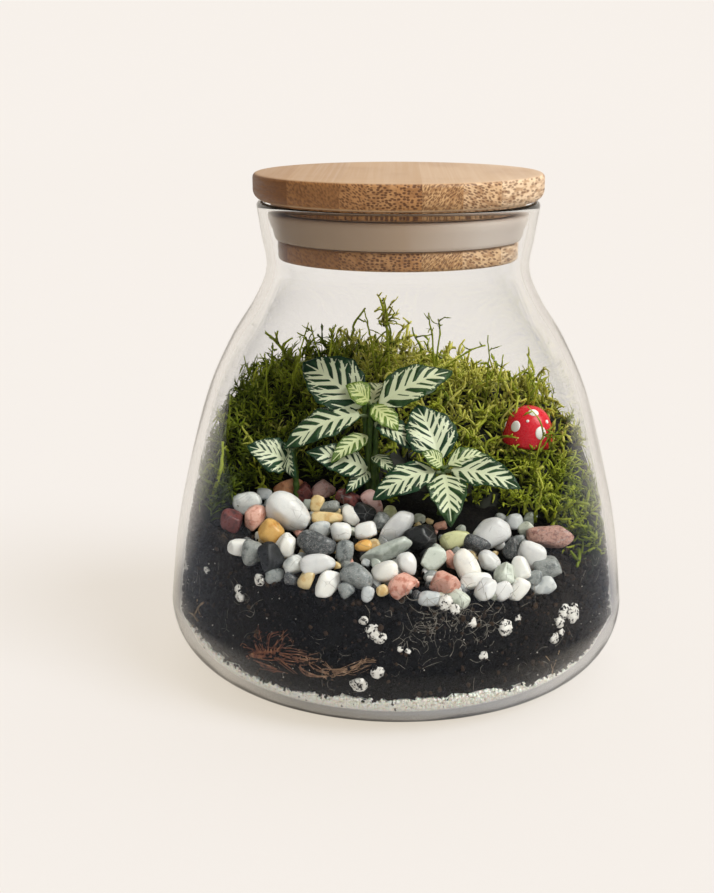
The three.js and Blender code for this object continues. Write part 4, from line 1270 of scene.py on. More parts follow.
def make_roots():
    random = rng("roots")
    soil = ("soil", "potting_soil")
    dress("dry_root", wall_strands(random, ROOT_STRANDS, 4, 0.8), root_material(), *soil)
    bark = bark_material("dry_bit", (120, 96, 66), (176, 148, 112))
    dress("dry_bits", wall_strands(random, TWIG_STRANDS, 1, 0), bark, *soil)
    hair = bark_material("root_hair", (70, 64, 56), (168, 160, 146))
    dress("root_hairs", wall_strands(random, hair_rows(random), 1, 0), hair, *soil)


# ------------------------------------------------------------------ pebbles

# Stones: record slot, main colour, second colour, size of the mottling in mm, share of the second colour.
STONES = {
    "white": ("pebble_white", (234, 233, 228), (220, 219, 216), 5.0, 0.4),
    "pale": ("pebble_white", (208, 211, 209), (176, 181, 182), 3.0, 0.5),
    "grey": ("pebble_grey", (142, 147, 145), (98, 104, 104), 2.0, 0.5),
    "charcoal": ("pebble_charcoal", (82, 86, 88), (52, 56, 58), 1.6, 0.5),
    "black": ("pebble_black", (48, 49, 50), (30, 31, 32), 2.0, 0.5),
    "maroon": ("pebble_brown", (112, 62, 58), (62, 38, 40), 1.6, 0.5),
    "brown": ("pebble_brown", (204, 146, 108), (168, 104, 72), 2.2, 0.5),
    "mauve": ("pebble_mauve", (214, 176, 168), (174, 118, 110), 2.0, 0.5),
    "pink": ("pebble_pink", (222, 176, 160), (190, 132, 116), 1.8, 0.5),
    "granite": ("pebble_pink", (190, 148, 134), (146, 104, 94), 0.9, 0.6),
    "salmon": ("pebble_salmon", (222, 170, 152), (188, 120, 100), 1.8, 0.5),
    "amber": ("pebble_amber", (234, 186, 108), (212, 150, 68), 3.0, 0.5),
    "ochre": ("pebble_amber", (228, 206, 156), (208, 172, 112), 2.5, 0.5),
    "sage": ("pebble_sage", (202, 208, 196), (174, 182, 168), 2.6, 0.5),
    "olive": ("pebble_yellow", (214, 216, 168), (190, 192, 138), 2.6, 0.5),
}


def stone_material(name):
    """Polished stone: mottled and veined, and with specks and streaks where it is granular."""
    _, main, second, size, share = STONES[name]
    dark = name in DARK_STONES
    shader = Shader("stone_" + name)
    blotch = shader.noise(size, 5.0)
    most = 0.25 * share
    body = shader.mix(shader.step(blotch, 0.62 - most, 0.78 - most), srgb(*main), srgb(*second))
    shade = shader.ramp(shader.value("tint"), (0.0, 0.8, 0.8, 0.82), (0.5, 1, 1, 1), (1.0, 1.0, 0.97, 0.92))
    body = shader.mix(1.0, body, shade, "MULTIPLY")
    vein = shader.step(shader.cells(4.5, (1, 0.7, 1.3), "DISTANCE_TO_EDGE"), 0.0, 0.035, 1.0, 0.0)
    vein = shader.times(vein, shader.step(shader.noise(6.0, 1.0), 0.5, 0.6))
    body = shader.mix(shader.times(vein, 0.45), body, srgb(150, 150, 148) if dark else srgb(128, 122, 116))
    if name in GRANULAR_STONES:
        speck = shader.step(shader.noise(0.28, 2.0), 0.58, 0.66, 0.0, 0.5)
        body = shader.mix(speck, body, srgb(212, 200, 192))
        streak = shader.step(shader.noise(1.4, 4.0, (1, 1, 2.2)), 0.6, 0.66, 0.0, 0.4)
        body = shader.mix(streak, body, srgb(176, 178, 176))
    shader.colour(body)
    shader.feed("Roughness", shader.step(blotch, 0.2, 0.8, 0.22, 0.42))
    if not dark:
        shader.feed("Subsurface Weight", 0.25 if name == "white" else 0.12)
        shader.feed("Subsurface Radius", (1.0, 0.85, 0.7))
        shader.feed("Subsurface Scale", 1.2 * MM)
    shader.bump(shader.noise(1.1, 3.0), 0.06, 0.5)
    return shader.material


# Broken stones have flat faces: how many, and how near the middle the nearest may lie. The others are
# worn round.
BROKEN = {
    "brown": (8, 0.5),
    "mauve": (8, 0.52),
    "maroon": (7, 0.55),
    "pink": (7, 0.55),
    "salmon": (9, 0.5),
    "charcoal": (6, 0.6),
    "sage": (5, 0.62),
    "black": (5, 0.62),
}
WORN = (4, 0.78)
DARK_STONES = ("charcoal", "black", "maroon")
GRANULAR_STONES = ("granite", "charcoal", "grey")
FACE_ROUND = 16.0  # how sharply a flat face ends


def pebble_shape(row, seed, ball):
    """Points of one pebble in its place: a squarish ball with lumps and flat faces."""
    x, y, deeper, length, width, turn, kind = row[:7]
    random = rng("stone", seed)
    thick = width * random.uniform(0.74, 0.9)
    points = ball.copy()
    box = 0.12 + 0.22 * random.random()  # how squarish it is
    points = np.sign(points) * np.abs(points) ** (1 - box)
    drop = random.uniform(-0.22, 0.22)
    points[:, 1:] *= 1 + drop * points[:, :1]
    shift = random.uniform(0, 50, 3)
    lumps = 0.1 * lump_noise(points + shift, 0.9, 3) + 0.04 * lump_noise(points + shift, 0.4, 4)
    points *= 1 + lumps[:, None]
    count, nearest = BROKEN.get(kind, WORN)
    for _ in range(count):
        out = unit(random.normal(size=3))
        past = points @ out - random.uniform(nearest, 0.95)
        points -= np.outer(np.log1p(np.exp(FACE_ROUND * past)) / FACE_ROUND, out)
    points *= np.array([length, thick, width]) / 2 / np.abs(points).max(0)
    a = -math.radians(turn)
    across = np.array([[math.cos(a), 0, math.sin(a)], [0, 1, 0], [-math.sin(a), 0, math.cos(a)]])
    t = -PEBBLE_TILT
    back = np.array([[1, 0, 0], [0, math.cos(t), -math.sin(t)], [0, math.sin(t), math.cos(t)]])
    z = slope_height(x, y) + thick / 2 - PEBBLE_SINK - deeper
    return points @ across.T @ back.T + (x, y, z)


FILLER_PEBBLES = 240


def filler_rows():
    """Small pebbles that lie between and under the others, drawn by chance."""
    random = rng("fillers")
    kinds = ["white", "pale", "grey", "grey", "charcoal", "sage", "ochre", "salmon", "black"]
    rows = []
    while len(rows) < FILLER_PEBBLES:
        x, y = random.uniform(-BED_SIDE, BED_SIDE), random.uniform(-68, -20)
        if bed_cover(x, y) < 0.75 or behind_glass(x, y) < 4.5:
            continue
        size = random.uniform(2.4, 4.6)
        turn = random.uniform(-90, 90)
        kind = kinds[random.integers(len(kinds))]
        rows.append((x, y, random.uniform(1.2, 2.6), size, size * random.uniform(0.7, 0.95), turn, kind))
    return rows


def make_pebbles():
    ball, triangles = icosphere(4)
    small_ball, small_triangles = icosphere(3)
    groups = {}
    random = rng("pebbles")
    for seed, row in enumerate(PEBBLES + filler_rows()):
        filler = seed >= len(PEBBLES)
        shape, mesh = (small_ball, small_triangles) if filler else (ball, triangles)
        points = keep_inside(pebble_shape(row, seed, shape), GLASS_CLEAR)
        value = {"tint": np.full(len(points), random.random())}
        groups.setdefault(row[6], []).append((points, mesh, value))
    for kind, parts in groups.items():
        nodes = [row[7] for row in PEBBLES if row[6] == kind and len(row) > 7]
        dress("pebbles_" + kind, parts, stone_material(kind), STONES[kind][0], "pebble_bed", *nodes)


# ------------------------------------------------------------------ nerve plants


LEAF_DROOP = 0.06  # how far the tip hangs, as a share of the leaf's length
LEAF_FOLD = 0.16  # how steeply both halves rise from the rib
QUILT_HEIGHT = 0.45
QUILT_WIDTH = 0.9
VEIN_SOFT = 0.22  # how wide the edge of a vein's colour is
VEIN_PAIRS = 6
VEIN_REACH = 0.95  # share of the blade's half width that the veins reach
VEIN_TAPER = 0.72  # how much thinner a side vein is at its end
VEIN_POINT = 0.12  # how wide it still is at the margin
FORKS = (3, 4, 6, 7)  # points of a side vein where a spur leaves it


def vein_lines(length, half, random):
    """The veins of a leaf laid flat: segments of x, y to x, y, with the half width at both ends.
    The side veins sweep forward and carry short spurs, like antlers."""
    lines = []

    def grow(point, heading, reach, wide, bend):
        """One curved vein that runs out to a point and ends where it nears the margin. Returns its points."""
        steps = max(3, round(reach / (0.05 * length)))
        path = []
        for i in range(steps):
            heading += bend / steps
            following = point + reach / steps * np.array([math.cos(heading), math.sin(heading)])
            room = 1 - abs(following[1]) / (half(following[0] / length) + TINY)
            if room < 1 - VEIN_REACH:
                break
            ends = [wide * min(1 - VEIN_TAPER * (i + k) / steps, VEIN_POINT + 1.6 * room) for k in (0, 1)]
            lines.append((*point, *following, *ends))
            point = following
            path.append((point, heading))
        return path

    rib = 0.036 * length
    for start, end in ((0.0, 0.3), (0.3, 0.6), (0.6, 0.94)):
        lines.append((start * length, 0, end * length, 0, rib * (1 - 0.9 * start), rib * (1 - 0.9 * end)))
    for k in range(VEIN_PAIRS):
        at = 0.01 + 0.8 * (k + 0.2) / VEIN_PAIRS
        for side in (-1, 1):
            start = np.array([(at + random.uniform(-0.02, 0.02)) * length, 0.0])
            slant = side * math.radians(random.uniform(48, 58) - 24 * at)
            reach = 2.1 * half(0.5) * (1 - 0.3 * at)
            wide = rib * (1.1 - 0.5 * at)
            path = grow(start, slant, reach, wide, -side * random.uniform(0.0, 0.3))
            sign = -side if random.random() < 0.7 else side
            for i, (point, heading) in enumerate(path[1:], 1):
                if i in FORKS:
                    turn = sign * math.radians(random.uniform(26, 40))
                    spur = reach * random.uniform(0.16, 0.3)
                    grow(point, heading + turn, spur, 0.5 * wide * (1 - 0.06 * i), -0.4 * turn)
                    sign = -sign
    return np.array(lines)


def vein_distance(x, y, lines):
    """Distance from each point of the flat leaf to the edge of the nearest vein: below 0 is on a vein."""
    best = np.full(len(x), np.inf)
    for x0, y0, x1, y1, w0, w1 in lines:
        dx, dy = x1 - x0, y1 - y0
        t = np.clip(((x - x0) * dx + (y - y0) * dy) / (dx * dx + dy * dy + TINY), 0, 1)
        gap = np.hypot(x - x0 - t * dx, y - y0 - t * dy) - (w0 + t * (w1 - w0))
        best = np.minimum(best, gap)
    return best


def leaf_part(root, tip, half_width, face, youth, seed):
    """One leaf: an arched blade, quilted between its veins, on a short stalk."""
    random = rng("leaf", seed)
    root, tip, face = (np.array(v, float) for v in (root, tip, face))
    rib = tip - root
    length = np.linalg.norm(rib)
    along = unit(rib)
    up = unit(face - along * face.dot(along))
    side = np.cross(up, along)
    blade_length = (1 - PETIOLE) * length

    def half(share):
        """Half the blade's width at a share of its length."""
        return half_width * np.sin(math.pi * np.clip(share, 0, 1) ** 0.8) ** 0.8

    rows = max(12, int(blade_length / LEAF_GRID))
    columns = max(8, int(2 * half_width / LEAF_GRID))
    u = np.linspace(0.002, 0.998, rows)
    v = np.linspace(-1, 1, columns)
    uu, vv = np.repeat(u, columns), np.tile(v, rows)
    flat_x = uu * blade_length
    flat_y = vv * half(uu)
    gap = vein_distance(flat_x, flat_y, vein_lines(blade_length, half, random))
    vein = smoothstep(0.5 - gap / VEIN_SOFT)
    whole = PETIOLE + (1 - PETIOLE) * uu
    rise = 4 * LEAF_ARCH * length * whole * (1 - whole) - LEAF_DROOP * length * whole**4
    fold = LEAF_FOLD * np.abs(flat_y) - 0.02 * flat_y**2 / half_width
    wave = 0.45 * vv**2 * np.sin(uu * 17 + 5 * random.random() + 1.5 * np.sign(vv))
    wave += 0.8 * vv**4 * np.sin(uu * 5 + 9 * random.random())
    quilt = QUILT_HEIGHT * smoothstep(gap / QUILT_WIDTH) * (1 - np.abs(vv) ** 6)
    scallop = 1 + 0.035 * np.sin(uu * 30 + 2 * random.random()) * np.abs(vv) ** 3
    lift = rise + fold + wave * half_width / 8 + quilt
    centre = root + np.outer(whole * length, along)
    centre += np.outer(flat_y * scallop, side) + np.outer(lift, up)
    thick = LEAF_THICKNESS * (0.35 + 0.65 * (1 - vv**4))[:, None] * up
    points = np.concatenate([centre + thick / 2, centre - thick / 2])
    count = rows * columns
    grid = np.arange(count).reshape(rows, columns)
    a, b, c, d = grid[:-1, :-1], grid[1:, :-1], grid[1:, 1:], grid[:-1, 1:]
    top = np.stack([a, b, c, d], -1).reshape(-1, 4)
    rim = np.concatenate([grid[0, :], grid[1:, -1], grid[-1, -2::-1], grid[-2:0:-1, 0]])
    after = np.roll(rim, -1)
    edge = np.stack([rim, after, after + count, rim + count], -1)
    faces = to_triangles([top, top[:, ::-1] + count, edge])
    values = {"vein": np.tile(vein, 2), "young": youth, "stem": 0.0}
    stalk_at = np.linspace(0, PETIOLE + 0.1, 6)
    stalk_rise = 4 * LEAF_ARCH * length * stalk_at * (1 - stalk_at) - 0.45
    path = root + np.outer(stalk_at * length, along) + np.outer(stalk_rise, up)
    stalk = tube_grid(path, np.linspace(0.75, 0.4, 6), 8)
    return [(points, faces, values), (*stalk, {"vein": 0.6, "young": youth, "stem": 0.8})]


def leaf_material():
    """Dark green with pale veins; young leaves are yellowish."""
    shader = Shader("nerve_leaf")
    vein, young, stem = shader.value("vein"), shader.value("young"), shader.value("stem")
    mottle = shader.noise(1.6, 3.0)
    green = shader.shades(mottle, (0.3, 16, 48, 30), (0.7, 38, 80, 46))
    fresh = shader.shades(mottle, (0.3, 98, 132, 44), (0.7, 140, 164, 62))
    pale = shader.mix(young, srgb(226, 233, 198), srgb(214, 222, 144))
    colour = shader.mix(shader.step(vein, 0.25, 0.75), shader.mix(young, green, fresh), pale)
    colour = shader.mix(stem, colour, shader.shades(mottle, (0.3, 48, 78, 22), (0.7, 84, 108, 36)))
    shader.colour(colour)
    shader.feed("Roughness", shader.step(mottle, 0.2, 0.8, 0.32, 0.5))
    shader.bump(shader.noise(0.35, 3.0), 0.05, 0.5)
    shader.translucent(colour, 0.22)
    return shader.material


BUNDLE_FROM = 2.0  # a stem thicker than this is a bundle of shoots
BUNDLE = 5
STEM_POINTS = 60


def stem_parts(path, radius):
    """A stem: one shoot, or several that stand close together and part a little towards the top."""
    count = BUNDLE if radius > BUNDLE_FROM else 1
    climb = np.linspace(0, 1, len(path))
    parts = []
    for k in range(count):
        angle = k / count * TURN + 0.9 * climb + 0.4 * np.sin(5 * climb + k)
        aside = (0 if count == 1 else 0.62 * radius) * (0.85 + 0.3 * climb)
        centre = path + spin(angle, aside, 0)
        thick = radius if count == 1 else 0.5 * radius
        radii = thick * np.linspace(1.0, 0.7, len(path)) * (1 + 0.1 * np.sin(np.arange(len(path)) * 0.9 + k))
        parts.append((*tube_grid(centre, radii, 10), {"vein": 0.0, "young": 0.3, "stem": 1.0}))
    return parts


def make_plants():
    material = leaf_material()
    for n, (node, radius, stem, leaves) in enumerate(PLANTS):
        path = spline_points(stem, STEM_POINTS)
        parts = stem_parts(path, radius)
        for k, (where, *leaf) in enumerate(leaves):
            parts += leaf_part(path[round(where * (STEM_POINTS - 1))], *leaf, 10 * n + k)
        dress(node.replace("nerve_plant", "fittonia"), parts, material, "leaf", node)


# ------------------------------------------------------------------ toadstool

# White dots on the cap: angle round it, angle up it, and radius. Angle 270 faces the front.
CAP_DOTS = [
    (226, 30, 1.75), (273, 66, 1.7), (294, 25, 2.0), (320, 44, 0.7), (256, 44, 0.5),
    (160, 58, 1.4), (172, 20, 1.8), (130, 52, 1.7), (95, 22, 1.9), (60, 50, 1.5), (20, 20, 1.8),
]
# A dot's rings, each as a share of its radius and its height over the cap, and the heights of its middles.
DOT_RINGS = [(1.0, -0.15), (1.0, 0.06), (0.86, 0.2), (0.5, 0.27)]
DOT_MIDDLES = (0.29, -0.2)
DOT_SIDES = 20
CAP_STEPS = 26
CAP_AROUND = 72


def cap_point(around, up, grow=0.0):
    """A point on the cap, from its rim at 0 to its top at a quarter turn."""
    reach = (CAP_RADIUS + grow) * np.clip(np.cos(up), 0, 1) ** CAP_BLUNT
    return spin(around, reach, (CAP_HEIGHT + grow) * np.sin(up) + CAP_LIFT)


def lean_cap(points):
    """Stands the cap in its place, with its lean."""
    c, s = math.cos(CAP_LEAN), math.sin(CAP_LEAN)
    x, y, z = points.T
    return np.stack([c * x + s * z, y, c * z - s * x], -1) + (*TOADSTOOL, CAP_RIM)


def paint_material(name, low, high, roughness):
    shader = Shader(name)
    shader.colour(shader.mix(shader.noise(3.0, 3.0), srgb(*low), srgb(*high)))
    shader.feed("Roughness", shader.step(shader.noise(0.9, 3.0), 0.2, 0.8, roughness - 0.08, roughness + 0.1))
    shader.bump(shader.noise(0.8, 3.0), 0.08, 0.5)
    return shader.material


def cap_dot(turn, up, size):
    """One dot of paint, which bulges a little out of the cap."""
    ring = np.arange(DOT_SIDES) / DOT_SIDES * TURN
    turn, up = math.radians(turn), math.radians(up)
    wide = size / (CAP_RADIUS * max(0.35, math.cos(up) ** CAP_BLUNT))
    high = size / (0.5 * (CAP_RADIUS + CAP_HEIGHT))
    rows = []
    for share, grow in DOT_RINGS:
        above = np.clip(up + share * high * np.sin(ring), 0.02, 1.5)
        rows.append(cap_point(turn + share * wide * np.cos(ring), above, grow))
    for grow in DOT_MIDDLES:
        rows.append(cap_point(np.array([turn]), up, grow))
    tip = len(DOT_RINGS) * DOT_SIDES
    faces = ring_faces(len(DOT_RINGS), DOT_SIDES, tip + 1, tip)
    return lean_cap(np.concatenate(rows)), to_triangles(faces), {}


def make_cap():
    red = paint_material("cap_paint", (206, 26, 42), (230, 44, 58), 0.27)
    white = paint_material("dot_paint", (238, 236, 228), (250, 249, 244), 0.45)
    profile = [(0, 0.9), (STALK_RADIUS, 0.9), (CAP_RADIUS - 2.2, 0.5), (CAP_RADIUS - 0.7, 0.05)]
    profile += [(CAP_RADIUS - 0.2, 0.2)]
    for up in np.linspace(0.02, math.pi / 2, CAP_STEPS)[:-1]:
        profile.append((CAP_RADIUS * math.cos(up) ** CAP_BLUNT, CAP_HEIGHT * math.sin(up) + CAP_LIFT))
    profile.append((0, CAP_HEIGHT + CAP_LIFT))
    points, faces = lathe_grid(profile, CAP_AROUND)
    dome = (lean_cap(points), to_triangles(faces), {})
    points, faces, _ = gather([dome] + [cap_dot(*row) for row in CAP_DOTS])
    painted = np.arange(len(faces)) >= len(dome[1])
    settle(make_piece("toadstool_hat", points, faces, [red, white], painted), "cap_red", "toadstool_cap")


def make_stalk():
    foot = float(soil_height(*TOADSTOOL)) - 3.5
    heights = np.linspace(foot, CAP_RIM + 0.6, 22)
    waver = 0.25 * np.sin((heights - foot) / 5)
    path = np.stack([TOADSTOOL[0] + waver, TOADSTOOL[1] + 0 * waver, heights], -1)
    radii = STALK_RADIUS * (1 + 0.18 * np.exp(-(heights - foot) / 4)) * np.linspace(1.0, 0.85, 22)
    white = paint_material("stalk_paint", (216, 218, 190), (236, 234, 214), 0.5)
    dress("toadstool_stem", [(*tube_grid(path, radii, 32), {})], white, "stalk_white", "toadstool_stalk")


# ------------------------------------------------------------------ moss


def needle(start, direction, bend, length, width):
    """A closed, slightly bent blade: seven points and ten triangles."""
    across = unit(np.cross(direction, (0.2, 0.3, 0.9)))
    other = np.cross(direction, across)
    middle = start + direction * length * 0.5
    corners = []
    for centre, half in ((start, 0.6 * width), (middle, width)):
        for angle, flat in ((0, 1.0), (TURN / 3, 0.45), (2 * TURN / 3, 0.45)):
            corners.append(centre + half * (math.cos(angle) * across + flat * math.sin(angle) * other))
    faces = [(0, 2, 1)]
    for k, n in ((0, 1), (1, 2), (2, 0)):
        faces += [(k, n, 3 + n), (k, 3 + n, 3 + k), (3 + k, 3 + n, 6)]
    return np.array(corners + [middle + bend * length * 0.5]), np.array(faces)


def star_shoot(random):
    """A shoot of moss with narrow leaves that spread into a star at its tip. About 7 mm long."""
    height = random.uniform(5.5, 9.0)
    lean = random.uniform(-0.25, 0.25, 2)
    t = np.linspace(0, 1, 5)
    path = np.stack([lean[0] * height * t**2, lean[1] * height * t**2, height * t], -1)
    points, faces = tube_grid(path, np.linspace(0.32, 0.14, 5), 4)
    parts = [(points, faces, {"reach": points[:, 2] / height * 0.55})]
    for k in range(STAR_LEAVES):
        share = 0.3 + 0.7 * (k / (STAR_LEAVES - 1)) ** 0.8
        base = np.array([np.interp(share, t, path[:, i]) for i in range(3)])
        angle = k * 2.4 + random.uniform(-0.3, 0.3)
        opening = math.radians(random.uniform(38, 72) - 18 * share)
        out = spin(angle, 1, 0)
        direction = unit(spin(angle, math.sin(opening), math.cos(opening)))
        bend = unit(direction + 0.5 * out - np.array([0, 0, random.uniform(-0.1, 0.35)]))
        blade = needle(base, direction, bend, random.uniform(3.0, 5.4), random.uniform(0.3, 0.5))
        parts.append((*blade, {"reach": 0.45 + 0.55 * share}))
    return gather(parts)


def strand(parts, random, start, heading, reach, radius, waver, leafiness, branches):
    """Adds a winding strand of moss to the parts, with small leaves and with side strands on it."""
    count = max(5, round(reach / 1.3))
    swing = random.normal(0, waver, 3)
    path = [np.array(start, float)]
    headings = []
    for _ in range(count):
        swing = swing + random.normal(0, 0.5 * waver, 3)
        heading = unit(heading + 0.5 * swing)
        headings.append(heading)
        path.append(path[-1] + heading * reach / count)
    radii = radius * np.linspace(1.0, 0.5, count + 1) * (1 + 0.2 * random.uniform(-1, 1, count + 1))
    shade = np.concatenate([np.repeat(np.linspace(0.3, 1, count + 1), 4), [0.3, 1.0]])
    parts.append((*tube_grid(path, radii, 4), {"reach": shade}))
    for k in range(1, count):
        if random.random() < leafiness:
            out = unit(random.normal(size=3))
            leaf = unit(headings[k] + 0.9 * out)
            flat = random.random() < BROAD_SHARE
            length = random.uniform(2.2, 4.4) if flat else random.uniform(1, 2)
            width = random.uniform(0.5, 1.0) if flat else 0.2
            blade = needle(path[k], leaf, unit(leaf + 0.3 * out), length, width)
            parts.append((*blade, {"reach": 0.5 + 0.5 * k / count}))
    for k in random.choice(np.arange(2, count), min(branches, count - 2), replace=False):
        out = unit(headings[k] + 1.1 * unit(random.normal(size=3)))
        side_reach = reach * random.uniform(0.25, 0.5)
        strand(parts, random, path[k], out, side_reach, THINNER * radius, waver, leafiness, 0)


def string_shoot(random):
    """A loose, winding strand with three side strands. 8 to 15 mm long."""
    parts = []
    heading = (*random.uniform(-0.5, 0.5, 2), 1)
    strand(parts, random, (0, 0, 0), heading, random.uniform(8, 15), random.uniform(0.6, 0.85), 0.46, 0.3, 3)
    return gather(parts)


def tall_shoot(random):
    """A thin strand that stands up out of the others. 11 to 17 mm long."""
    parts = []
    heading = (*random.uniform(-0.3, 0.3, 2), 1)
    strand(parts, random, (0, 0, 0), heading, random.uniform(11, 17), random.uniform(0.4, 0.52), 0.26, 0.3, 2)
    return gather(parts)


def node_mesh(node):
    """A node's points in millimetres, and its triangles."""
    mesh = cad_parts[node].data
    mesh.calc_loop_triangles()
    return np.array([v.co for v in mesh.vertices]) / MM, np.array([t.vertices for t in mesh.loop_triangles])


def surface_places(node, random, count):
    """Random places on a node's surface, with the way that it faces there, where it doesn't look down."""
    corners, triangles = node_mesh(node)
    a, b, c = (corners[triangles[:, k]] for k in range(3))
    normal = np.cross(b - a, c - a)
    area = np.linalg.norm(normal, axis=1)
    normal = unit(normal)
    area[normal[:, 2] < LEAST_UP] = 0
    chosen = random.choice(len(area), count, p=area / area.sum())
    r1, r2 = np.sqrt(random.random((count, 1))), random.random((count, 1))
    places = a[chosen] * (1 - r1) + b[chosen] * r1 * (1 - r2) + c[chosen] * r1 * r2
    return places, normal[chosen]


def turns_towards(directions, angle):
    """Rotations that take the Z axis to each direction, after a turn about it."""
    z = unit(directions)
    x = unit(np.cross(z, (0.3, 0.9, 0.2)))
    y = np.cross(z, x)
    c, s = np.cos(angle)[:, None], np.sin(angle)[:, None]
    return np.stack([c * x + s * y, c * y - s * x, z], -1)


def moss_material():
    """Dark at the root and yellowish green at the tip, lighter or darker from strand to strand."""
    shader = Shader("moss", Roughness=0.55)
    tint = shader.value("tint")
    deep = shader.shades(tint, (0.0, 16, 18, 6), (0.5, 44, 50, 8), (1.0, 92, 92, 22))
    tips = [(0.0, 82, 98, 12), (0.35, 132, 150, 22), (0.7, 190, 200, 54), (1.0, 236, 232, 122)]
    colour = shader.mix(shader.step(shader.value("reach"), 0.2, 0.8), deep, shader.shades(tint, *tips))
    shader.colour(colour)
    shader.bump(shader.noise(0.5, 2.0), 0.08, 0.5)
    shader.translucent(colour, 0.4)
    return shader.material


# The cushions: their least thickness, the humps on them (place, width along X and Y, height), where they end
# before the pebbles, how far their arms reach forward at both sides, how wide their sloping edge is, how deep
# they stand in the soil, and how high their lumps are.
MOSS_SKIN = 3.4
MOSS_HUMPS = [(-38, 6, 22, 16, 2.5), (-2, 28, 18, 28, 6.5), (40, 15, 28, 16, 6.5), (62, 4, 13, 15, 8)]
MOSS_FRONT = -17
MOSS_ARMS = 24
MOSS_EDGE = 8
MOSS_ROOT = 2
MOSS_LUMPS = 1.8
MOSS_SEAM = 2.5  # width of the seam between two cushions that the model's shoots keep free
MOSS_CLEAR = 0.25  # how far the strands stay off the glass
CORE_SINK = 1.6  # how far the cushion itself lies below the model's
MOSS_LIGHT_RISE = 0.015  # how much lighter the moss is with each mm of height
MOSS_LIGHT_AT = 80.0
# Where the model's shoots stand, how the ring that holds them narrows with height, how deep their roots are,
# and from which draw on they are tall.
SHOOT_HALF = 62
SHOOT_FRONT = -42
SHOOT_DEPTH = 100
SHOOT_RING = 66
SHOOT_TAPER = 0.45
SHOOT_TAPER_FROM = 60
SHOOT_ROOT = 1.2
SHOOT_TALL = 0.88
JAR_BOX = 80
LEAST_UP = -0.25  # shoots grow on faces that look up more than this
STAR_LEAVES = 11
# Clumps: node, lowest and highest X, the model's shoots, numbers of star shoots, of winding strands and of
# tall strands, and how light its green is.
MOSS_CLUMPS = [
    ("moss_left", -JAR_BOX, -17, 42, 420, 170, 13, 0.34),
    ("moss_back", -17, 18, 34, 80, 230, 13, 0.78),
    ("moss_right", 18, JAR_BOX, 42, 110, 350, 13, 0.88),
]
SHAPES_EACH = 13  # different shoots of each kind
THINNER = 0.75  # a side strand's radius as a share of its strand's
STRAND_LIGHTER = 0.08  # how much lighter the strands are than the star shoots
BROAD_SHARE = 0.3  # share of a strand's leaves that are broad
WINDING_POINTS = 14
LOOPS = 46  # loose, arching strands over all the moss
# Single strands that stand out of the moss: tip, root and radius.
MOSS_STRANDS = [
    ((-51.4, 8, 100), (-47, 8, 88), 0.3),
    ((-44, 8, 100.5), (-43, 8, 90), 0.36),
    ((-41.3, 8, 104), (-46.5, 8, 91), 0.4),
    ((-29.7, 12, 109.6), (-37, 12, 98), 0.36),
    ((-28.9, 12, 108.6), (-23, 12, 99), 0.36),
    ((-20.7, 14, 108.6), (-25, 14, 100), 0.42),
    ((-11.2, 18, 113), (-6.5, 18, 99), 0.4),
    ((-4.9, 20, 116.7), (-2, 20, 103), 0.45),
    ((10.7, 20, 111.7), (14, 20, 103), 0.4),
    ((13.9, 20, 109.7), (13.5, 20, 101), 0.4),
    ((30, 18, 101.5), (8.5, 18, 104.5), 0.4),
    ((30.6, 15, 105.3), (30.3, 15, 98), 0.3),
    ((35.6, 12, 99.8), (32.5, 12, 95), 0.3),
    ((44, 10, 98.9), (43.5, 10, 91), 0.3),
    ((48, 8, 94.3), (44.5, 8, 90), 0.35),
]
STRAND_ARCH = 0.12  # how far a single strand bows upwards, as a share of its length
CAP_GRASS = 54  # strands round the toadstool's foot


def clump_parts(node, number, kind, name, count, lightness):
    """Shoots of one kind all over a clump of moss. Near the glass they don't grow towards it."""
    random = rng(name, number)
    some = count // SHAPES_EACH
    parts = []
    for points, faces, values in [kind(random) for _ in range(SHAPES_EACH)]:
        places, normals = surface_places(node, random, some)
        directions = normals * 0.7 + (0, 0, 0.6) + random.normal(0, 0.34, (some, 3))
        outward = unit(places * (1, 1, 0))
        near = smoothstep((np.hypot(places[:, 0], places[:, 1]) - inside_radius(places[:, 2]) + 9) / 9)
        directions -= outward * (np.maximum(0, (directions * outward).sum(1) - 0.1) * near)[:, None]
        sizes = random.uniform(0.65, 1.1, some)
        turns = turns_towards(directions, random.uniform(0, TURN, some))
        moved, copied = place_copies(points, faces, places - normals * 2.8, turns, sizes)
        tint = random.normal(lightness, 0.17, some) + MOSS_LIGHT_RISE * (places[:, 2] - MOSS_LIGHT_AT)
        tint = np.repeat(np.clip(tint, 0, 1), len(points))
        parts.append((moved, copied, {"reach": np.tile(values["reach"], some), "tint": tint}))
    return inside_parts(parts, MOSS_CLEAR)


def moss_height(x, y):
    """Height of the moss without its shoots."""
    thick = MOSS_SKIN
    for cx, cy, sx, sy, high in MOSS_HUMPS:
        thick = thick + high * np.exp(-(((x - cx) / sx) ** 2) - ((y - cy) / sy) ** 2)
    front = MOSS_FRONT - MOSS_ARMS * (np.abs(x) / 60) ** 2
    lumps = MOSS_LUMPS * np.sin(x / 4.1 + 0.6 * np.sin(y / 6)) * np.sin(y / 3.7)
    return soil_height(x, y) - MOSS_ROOT + (thick + MOSS_ROOT + lumps) * smoothstep((y - front) / MOSS_EDGE)


def moss_core(node):
    """The clump's own body without its shoots, sunk a little, as the dark ground of the strands."""
    corners, triangles = node_mesh(node)
    corners[:, 2] = np.minimum(corners[:, 2], moss_height(corners[:, 0], corners[:, 1])) - CORE_SINK
    return corners, triangles, {"reach": 0.1, "tint": 0.2}


def drawn(seed):
    """Numbers from 0 to 1, drawn as they are for the model's own shoots."""
    state = seed
    while True:
        state = (state * 1664525 + 1013904223) % 2**32
        yield state / 2**32


